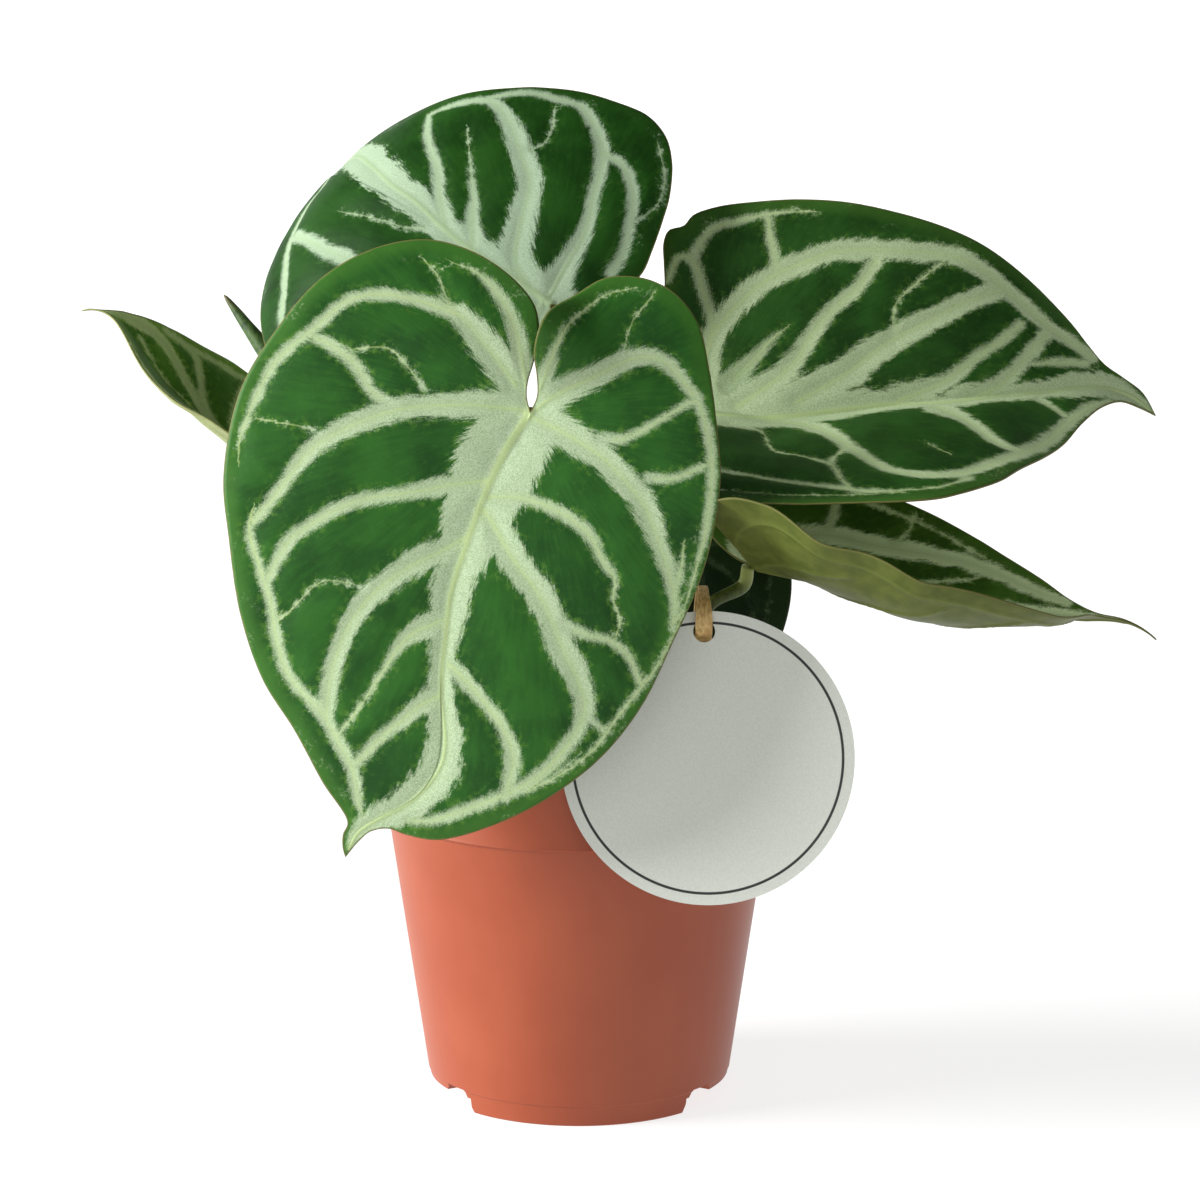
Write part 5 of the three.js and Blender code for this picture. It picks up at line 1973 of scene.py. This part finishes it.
# Pot, soil and crown
@dataclass
class Pot:
    """A thin moulded cone with a shallow rim band, a raised channel under its floor and three feet."""

    height: float = 105
    rim_radius: float = 60
    foot_radius: float = 44.2
    foot_step: float = 0.3
    bead_height: float = 6.4
    band_height: float = 85.3
    band_step: float = 0.6
    wall: float = 1.8
    slope: float = 0.1464
    floor: float = 2
    channel_height: float = 5
    channel_inner: float = 26
    channel_outer: float = 41
    steps: int = 200
    skirts: tuple[float, ...] = (-18, 90, 198)
    skirt_half: float = 27
    skirt_height: float = 4.4
    sides: tuple[float, ...] = (-37, 71, 109, 217)
    side_half: float = 5
    side_flare: float = 5
    side_height: float = 6.6
    drains: int = 6
    drain_radius: float = 3.5
    drain_pitch: float = 34
    drain_start: float = 30
    drain_depth: float = 15
    drain_middle: float = 5
    drain_segments: int = 32
    lip_radius: float = 0.9
    lip_turns: tuple[float, ...] = (0, 0.35, 0.7, 1.05, QUARTER_TURN)
    wall_stations: Triple = (12, 30, 60)
    cut_middle: float = 44
    cut_half: float = 6
    cut_below: float = -1
    weld: float = 1e-4
    sharp: float = 28

    def wall_radius(self, z: float) -> float:
        """Gives the wall's outer radius at a height."""
        return self.foot_radius + self.foot_step + self.slope * z

    def inside(self, z: float) -> float:
        """Gives the wall's inner radius at a height."""
        return self.wall_radius(z) - self.wall

    def profile(self) -> list[Pair]:
        """Works out the section of the pot, from its underside round the lip to its floor.

        Returns:
            Points (radius, height).
        """
        top, foot, bead, band = self.height, self.foot_radius, self.bead_height, self.band_height
        outer, inner = self.wall_radius, self.inside(top)
        floor_top = self.channel_height + self.floor
        lip, step = self.lip_radius, outer(band) + self.band_step
        return [
            (0, 0),
            (self.channel_inner - 2, 0),
            (self.channel_inner, self.channel_height),
            (self.channel_outer, self.channel_height),
            (self.channel_outer + 0.6, 0),
            (foot - 0.3, 0),
            (foot, 0.3),
            (foot + self.slope * 6, bead - 0.5),
            (outer(bead), bead - 0.1),
            *((outer(z), z) for z in (*self.wall_stations, band - 0.9)),
            (outer(band - 0.4) + 0.1, band - 0.4),
            *((step + out, band + up) for out, up in ((0, -0.1), (0.25, 0.25), (0.25, 0.6), (0.1, 1.1))),
            *(
                (self.rim_radius - lip + lip * math.cos(turn), top - lip + lip * math.sin(turn))
                for turn in self.lip_turns
            ),
            *((inner + out, top - down) for out, down in ((0.8, 0), (0.25, 0.25), (0, 0.8))),
            (self.inside(floor_top + 1), floor_top + 1),
            (self.inside(floor_top) - 1, floor_top),
            (self.channel_inner + 1.5, floor_top),
            (self.channel_inner - 2.5, self.floor),
            (0, self.floor),
        ]

    def cutters(self) -> Piece:
        """Makes the wedges and drills that are cut from the foot.

        Returns:
            One object, which is taken away again after the cut.
        """
        bm = bmesh.new()
        plans = [(angle, self.skirt_half, 0.0, self.skirt_height) for angle in self.skirts]
        plans += [(angle, self.side_half, self.side_flare, self.side_height) for angle in self.sides]
        for angle, half, flare, height in plans:
            made = bmesh.ops.create_cube(bm, size=2.0)
            for vert in made["verts"]:
                low = vert.co.z < 0
                widest = math.radians(half + (flare if low else 0))
                reach = (self.cut_middle + self.cut_half * vert.co.x) / math.cos(widest)
                turn = math.radians(angle) + widest * vert.co.y
                vert.co = around(reach, turn, self.cut_below if low else height)
        for i in range(self.drains):
            at = math.radians(self.drain_start + 360 * i / self.drains)
            bmesh.ops.create_cone(
                bm,
                cap_ends=True,
                segments=self.drain_segments,
                radius1=self.drain_radius,
                radius2=self.drain_radius,
                depth=self.drain_depth,
                matrix=Matrix.Translation(around(self.drain_pitch, at, self.drain_middle)),
            )
        return finished("cutters", bm, [])

    def build(self, finish: Material) -> None:
        """Makes the pot.

        Args:
            finish: Its finish.
        """
        bm = bmesh.new()
        verts = [bm.verts.new((radius, 0, z)) for radius, z in self.profile()]
        for first, second in zip(verts, verts[1:]):
            bm.edges.new((first, second))
        turn = {"axis": (0, 0, 1), "cent": (0, 0, 0), "angle": FULL_TURN, "steps": self.steps}
        bmesh.ops.spin(bm, geom=bm.verts[:] + bm.edges[:], use_merge=True, **turn)
        bmesh.ops.remove_doubles(bm, verts=bm.verts, dist=self.weld)
        bmesh.ops.recalc_face_normals(bm, faces=bm.faces)
        raw = finished("pot_raw", bm, [])
        cutter = self.cutters()
        cut = raw.modifiers.new("cut", "BOOLEAN")
        cut.object, cut.operation, cut.solver = cutter, "DIFFERENCE", "EXACT"
        cut.use_self = True
        mesh = bpy.data.meshes.new_from_object(raw.evaluated_get(bpy.context.evaluated_depsgraph_get()))
        for spent in (raw, cutter):
            bpy.data.objects.remove(spent)
        settle(placed("pot_shell", mesh, [finish], self.sharp), Slot.TERRACOTTA, "pot")


@dataclass
class Soil:
    """Level peat with crumbs on top."""

    pot: Pot
    level: float = 94.6
    dome: float = 1.2
    clod: float = 1.3
    layers: tuple[Triple, ...] = ((0.07, 1.5, 0.9), (0.33, 7.1, 0.55), (0.9, 2.2, 0.35))
    rim_fade: float = 8
    gap: float = 0.5
    side_gap: float = 0.45
    shoulder: float = 2
    middle: float = 50
    foot: float = 1.5
    cells: int = 110
    crumbs: int = 620
    crumb_inset: float = 2.5
    crumb_size: Pair = (0.5, 1.9)
    crumb_sunk: float = 0.25
    crumb_rough: float = 0.18
    crumb_upright: float = 0.3
    crumb_width: Pair = (0.6, 1)
    crumb_height: Pair = (0.45, 0.8)
    sharp: float = 60
    seed: int = 11

    def height_at(self, x: float, y: float, edge: float) -> float:
        """Works out the surface height at a place, with clods and grains.

        Args:
            x: Place across.
            y: Place from front to back.
            edge: The peat's radius.

        Returns:
            The height.
        """
        inward = 1 - math.hypot(x, y) / edge
        rough = sum(
            share * noise.noise(Vector((x * scale, y * scale, layer))) for scale, layer, share in self.layers
        )
        return self.level + self.dome * inward + min(1.0, inward * self.rim_fade) * self.clod * rough

    def build(self, finish: Material) -> None:
        """Makes the peat and its crumbs.

        Args:
            finish: Its finish.
        """
        edge = self.pot.inside(self.level) - self.gap
        bm = bmesh.new()
        bmesh.ops.create_grid(bm, x_segments=self.cells, y_segments=self.cells, size=1.0)
        for vert in bm.verts:
            x, y = vert.co.x, vert.co.y
            at = Vector((x * math.sqrt(1 - y * y / 2), y * math.sqrt(1 - x * x / 2))) * edge
            vert.co = Vector((at.x, at.y, self.height_at(at.x, at.y, edge)))
        rim = [item for item in bm.edges if item.is_boundary]
        lowest = self.pot.channel_height + self.pot.floor + self.foot
        for z in (self.level - self.shoulder, self.middle, lowest):
            made = bmesh.ops.extrude_edge_only(bm, edges=rim)["geom"]
            for vert in (item for item in made if isinstance(item, bmesh.types.BMVert)):
                flat = Vector((vert.co.x, vert.co.y)).normalized() * (self.pot.inside(z) - self.side_gap)
                vert.co = Vector((flat.x, flat.y, z))
            rim = [item for item in made if isinstance(item, bmesh.types.BMEdge) and item.is_boundary]
        bmesh.ops.edgeloop_fill(bm, edges=rim)
        bmesh.ops.recalc_face_normals(bm, faces=bm.faces)
        self.scatter(bm, edge)
        settle(finished("peat", bm, [finish], self.sharp), Slot.PEAT, "soil")

    def scatter(self, bm: Shell, edge: float) -> None:
        """Adds the crumbs on top.

        Args:
            bm: The mesh to add to.
            edge: The peat's radius.
        """
        picks = random.Random(self.seed)
        for _ in range(self.crumbs):
            turn, reach = picks.uniform(0, FULL_TURN), (edge - self.crumb_inset) * math.sqrt(picks.random())
            x, y = reach * math.cos(turn), reach * math.sin(turn)
            size = picks.uniform(*self.crumb_size)
            angle = picks.uniform(0, HALF_TURN)
            axis = Vector((picks.random(), picks.random(), self.crumb_upright))
            height = self.height_at(x, y, edge) + size * self.crumb_sunk
            place = Matrix.Translation((x, y, height)) @ Matrix.Rotation(angle, 4, axis)
            width, tall = picks.uniform(*self.crumb_width), picks.uniform(*self.crumb_height)
            stretch = Matrix.Diagonal((1, width, tall, 1))
            made = bmesh.ops.create_icosphere(bm, subdivisions=1, radius=size, matrix=place @ stretch)
            for vert in made["verts"]:
                push = Vector([picks.uniform(-1, 1) for _ in range(3)])
                vert.co += push * size * self.crumb_rough


@dataclass
class Crown:
    """The short thick stem that every stalk grows from, wrapped in sheaths."""

    profile: tuple[Pair, ...] = (
        (0.4, 62), (5.5, 68), (7.5, 78), (9.5, 88), (11, 96), (10.5, 101), (8, 105.5), (4, 108), (0.4, 109),
    )
    steps: int = 60
    segments: int = 48
    swells: tuple[Pair, ...] = ((0.22, 1.3), (0.8, 0.35))
    ring_height: float = 0.25
    ring_turns: float = 2.1
    sheaths: tuple[Triple, ...] = (
        (250, 8.6, 22), (160, 8.8, 17), (70, 8.4, 20), (340, 9, 15), (205, 9.4, 12), (20, 9, 24),
    )
    swell_up: float = 0.3
    sheath_grid: tuple[int, int] = (14, 20)
    sheath_half: float = 38
    sheath_foot: float = 93
    sheath_thickness: float = 0.35
    taper_power: float = 2.4
    tip_share: float = 0.25
    lean: float = 2.2
    belly: float = 0.8
    belly_turns: float = 3
    tip_gain: float = 2
    side_drop: float = 1.5

    def build(self, stem: Material, sheath: Material) -> None:
        """Makes the stem and its sheaths.

        Args:
            stem: The stem's finish.
            sheath: The sheaths' finish.
        """
        bm = bmesh.new()
        turn_about(bm, self.profile, self.steps, self.segments)
        for vert in bm.verts:
            rough = sum(noise.noise(vert.co * scale) * height for scale, height in self.swells)
            ring = self.ring_height * math.sin(vert.co.z * self.ring_turns)
            flat = Vector((vert.co.x, vert.co.y, 0))
            out = flat.normalized() * (rough + ring)
            vert.co += out if flat.length > 1 else Vector((0, 0, rough * self.swell_up))
        settle(finished("crown_stem", bm, [stem]), Slot.CROWN, "crown")
        self.build_sheaths(sheath)

    def build_sheaths(self, finish: Material) -> None:
        """Makes the papery sheaths that clasp the stalks' feet.

        Args:
            finish: Their finish.
        """
        bm = bmesh.new()
        for turn, reach, height in self.sheaths:
            columns, rows = self.sheath_grid
            made = bmesh.ops.create_grid(bm, x_segments=columns, y_segments=rows, size=1.0)
            for vert in made["verts"]:
                across, up = vert.co.x, (vert.co.y + 1) / 2
                taper = math.sqrt(max(0.0, 1 - up**self.taper_power))
                half = math.radians(self.sheath_half) * (self.tip_share + (1 - self.tip_share) * taper)
                out = reach + self.lean * up + self.belly * math.sin(self.belly_turns * up)
                rise = (height + self.tip_gain) * up - self.side_drop * across * across * up
                vert.co = around(out, math.radians(turn) + across * half, self.sheath_foot + rise)
        bmesh.ops.recalc_face_normals(bm, faces=bm.faces)
        bmesh.ops.solidify(bm, geom=bm.faces[:], thickness=self.sheath_thickness)
        settle(finished("crown_sheaths", bm, [finish]), Slot.CROWN)


# Card and strap
@dataclass
class Tag:
    """A round card that leans on the rim."""

    centre: Triple = (36.6, -58.9, 112.9)
    lean: float = 12
    radius: float = 41.3
    thickness: float = 0.8
    hole: float = 3.1
    hole_at: Pair = (-1, 35.6)
    segments: int = 160
    hole_segments: int = 40
    sharp: float = 40

    def build(self) -> None:
        """Makes the card and its two finishes."""
        bm = bmesh.new()
        bmesh.ops.create_circle(bm, segments=self.segments, radius=self.radius)
        hole = Matrix.Translation((*self.hole_at, 0))
        bmesh.ops.create_circle(bm, segments=self.hole_segments, radius=self.hole, matrix=hole)
        bmesh.ops.triangle_fill(bm, use_beauty=True, use_dissolve=False, edges=bm.edges)
        bmesh.ops.recalc_face_normals(bm, faces=bm.faces)
        bm.normal_update()
        if bm.faces[:][0].normal.z < 0:
            bmesh.ops.reverse_faces(bm, faces=bm.faces)
        bmesh.ops.translate(bm, vec=(0, 0, self.thickness / 2), verts=bm.verts)
        front = set(bm.faces)
        bmesh.ops.solidify(bm, geom=bm.faces[:], thickness=self.thickness)
        for face in bm.faces:
            face.material_index = 0 if face in front else 1
        upright = Matrix.Rotation(math.radians(90 - self.lean), 4, "X")
        bmesh.ops.transform(bm, matrix=Matrix.Translation(self.centre) @ upright, verts=bm.verts)
        faces = (("card_front", True), ("card_back", False))
        finishes = [CardFinish(name, ring=ring, centre=self.centre).build() for name, ring in faces]
        settle(finished("tag_card", bm, finishes, self.sharp), Slot.CARD, "tag")


@dataclass
class Strap:
    """A flat strap through the card's hole and round the low stalk."""

    left: float = 33.1
    width: float = 4.8
    thickness: float = 0.7
    waist: float = 0.42
    waist_from: float = 150
    waist_to: float = 158.4
    steps: int = 96
    segments: int = 20
    square: float = 0.45
    loop: tuple[Pair, ...] = (
        (-51.9, 147.4), (-48.6, 145.6), (-44, 143.8), (-39, 143.2), (-35.4, 146), (-34.4, 151.5),
        (-35.4, 156.4), (-39.6, 158.4), (-45.4, 157.6), (-50.6, 155.6), (-52.6, 153.4), (-53, 150.2),
    )

    def build(self, finish: Material) -> None:
        """Makes the strap.

        Args:
            finish: Its finish.
        """
        middle = self.left + self.width / 2
        line = at_lengths(centripetal(list(self.loop), closed=True), np.linspace(0, 1, self.steps + 1))[:-1]
        sections = []
        for i, (y, z) in enumerate(line):
            before, after = line[i - 1], line[(i + 1) % len(line)]
            ahead = Vector((0, after[0] - before[0], after[1] - before[1])).normalized()
            across = Vector((1, 0, 0))
            turned = Matrix((across, ahead.cross(across), ahead)).transposed().to_4x4()
            place = Matrix.Translation((middle, y, z)) @ turned
            raised = max(0.0, (z - self.waist_from) / (self.waist_to - self.waist_from))
            slim = 1 - self.waist * raised**2
            sections.append((place, self.width / 2 * slim, self.thickness / 2))
        bm = bmesh.new()
        loft(bm, sections, self.segments, closed=True, square=self.square)
        settle(finished("tag_strap", bm, [finish]), Slot.STRAP, "strap")


# Stage
@dataclass(frozen=True)
class SoftLight:
    """A distant soft light.

    Attributes:
        name: Its name.
        towards: Where it stands, seen from the plant.
        spread: How wide it looks from the plant, in degrees.
        power: How bright a white sheet that faces it gets.
    """

    name: str
    towards: Triple
    spread: float
    power: float

    def build(self) -> None:
        """Makes the light."""
        lamp = bpy.data.lights.new(self.name, "SUN")
        lamp.angle, lamp.energy = math.radians(self.spread), self.power * math.pi
        made = bpy.data.objects.new(self.name, lamp)
        made.location = Vector(self.towards)
        made.rotation_mode = "QUATERNION"
        made.rotation_quaternion = (-Vector(self.towards)).to_track_quat("-Z", "Y")
        bpy.context.scene.collection.objects.link(made)


@dataclass
class Studio:
    """Camera, pale sweep and soft light."""

    camera_at: Triple = (6.28, -1050, 334)
    pitch: float = 10.07
    focal_px: float = 3609
    image_px: float = 1200
    sensor: float = 36
    world: float = 0.1
    reach: float = 40000
    floor_steps: int = 60
    floor_length: float = 9000
    floor_front: float = 3500
    bend_from: float = 2500
    bend_radius: float = 1400
    lights: tuple[SoftLight, ...] = (
        SoftLight("key", (-0.92, -0.15, 0.38), 34, 1.95),
        SoftLight("front", (0.1, -1, 0.3), 80, 0.2),
    )

    def build(self) -> None:
        """Makes the camera, the lights and the sweep."""
        scene = bpy.context.scene
        data = bpy.data.cameras.new("camera")
        data.sensor_width = self.sensor
        data.lens = self.sensor * self.focal_px / self.image_px
        camera = bpy.data.objects.new("camera", data)
        camera.location = Vector(self.camera_at) * MM
        camera.rotation_euler = (math.radians(90 - self.pitch), 0, 0)
        scene.collection.objects.link(camera)
        scene.camera = camera
        for light in self.lights:
            light.build()
        world = bpy.data.worlds.new("studio")
        world.use_nodes = True
        shade = next(node for node in world.node_tree.nodes if node.type == "BACKGROUND")
        shade.inputs["Color"].default_value = WHITE
        shade.inputs["Strength"].default_value = self.world
        scene.world = world
        scene.view_settings.view_transform = "Standard"
        scene.view_settings.look = "None"
        self.sweep()

    def sweep(self) -> None:
        """Makes the floor, which curves up into a wall behind the plant."""
        bm = bmesh.new()
        bmesh.ops.create_grid(bm, x_segments=1, y_segments=self.floor_steps, size=1.0)
        for vert in bm.verts:
            along = (vert.co.y + 1) / 2 * self.floor_length - self.floor_front
            if vert.co.y < CLOSE - 1:
                along = -self.reach
            past = along - self.bend_from
            turn = min(max(past / self.bend_radius, 0), QUARTER_TURN)
            beyond = max(0.0, past - self.bend_radius * QUARTER_TURN)
            y = min(along, self.bend_from) + self.bend_radius * math.sin(turn)
            z = self.bend_radius * (1 - math.cos(turn)) + beyond
            vert.co = Vector((vert.co.x * self.reach, y, z))
        bmesh.ops.recalc_face_normals(bm, faces=bm.faces)
        floor = finished("sweep", bm, [StageFinish().build()])
        floor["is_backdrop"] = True


STALKS = (
    Stalk("front", 2, ((1, -7, 104), (0, -16, 130), (-3, -29, 170), (-8, -42, 198)), FRONT_SHAPE),
    Stalk("back", 2, ((0, 6.5, 104.5), (-3, 15, 150), (-5, 17, 195), (-6, 12, 222)), BACK_SHAPE),
    Stalk("right", 2, ((7, 2, 104), (20, 9, 135), (33, 10, 170), (37, 9, 188)), RIGHT_SHAPE),
    Stalk("low", 1.9, ((6, -7, 103), (20, -28, 125), (30, -38, 143.5), (38.4, -38, 153.6)), LOW_SHAPE),
    Stalk("left", 1.8, ((-8.5, -1.5, 102.5), (-38, -5, 125), (-70, -6, 155), (-81, -6, 170)), LEFT_SHAPE),
    Stalk("shade", 1.6, ((3.5, -1, 107), (18, -6, 126), (30, -4, 146), (35, 0, 157)), SHADE_SHAPE),
)


def corners() -> list[list[float]]:
    """Gives the shown object's lowest and highest corner as plain numbers."""
    return [list(corner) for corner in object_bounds()]


def main() -> None:
    """Builds the plant, its pot and the studio."""
    logging.basicConfig(level=logging.INFO, format="%(name)s %(message)s")
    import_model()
    Studio().build()
    tones = dict.fromkeys(tone for blade in BLADES for tone in (blade.tone, blade.under))
    for tone in tones:
        tones[tone] = tone.build()
    for blade in BLADES:
        blade.build(tones[blade.tone], tones[blade.under])
    stalk = StalkFinish().build()
    for item in STALKS:
        item.build(stalk)
    YoungLeaf().build(YoungFinish().build(), stalk)
    pot = Pot()
    pot.build(POT_FINISH.build())
    Soil(pot).build(PeatFinish().build())
    Crown().build(CROWN_FINISH.build(), SHEATH_FINISH.build())
    Tag().build()
    Strap().build(STRAP_FINISH.build())


if __name__ == "__main__":
    main()
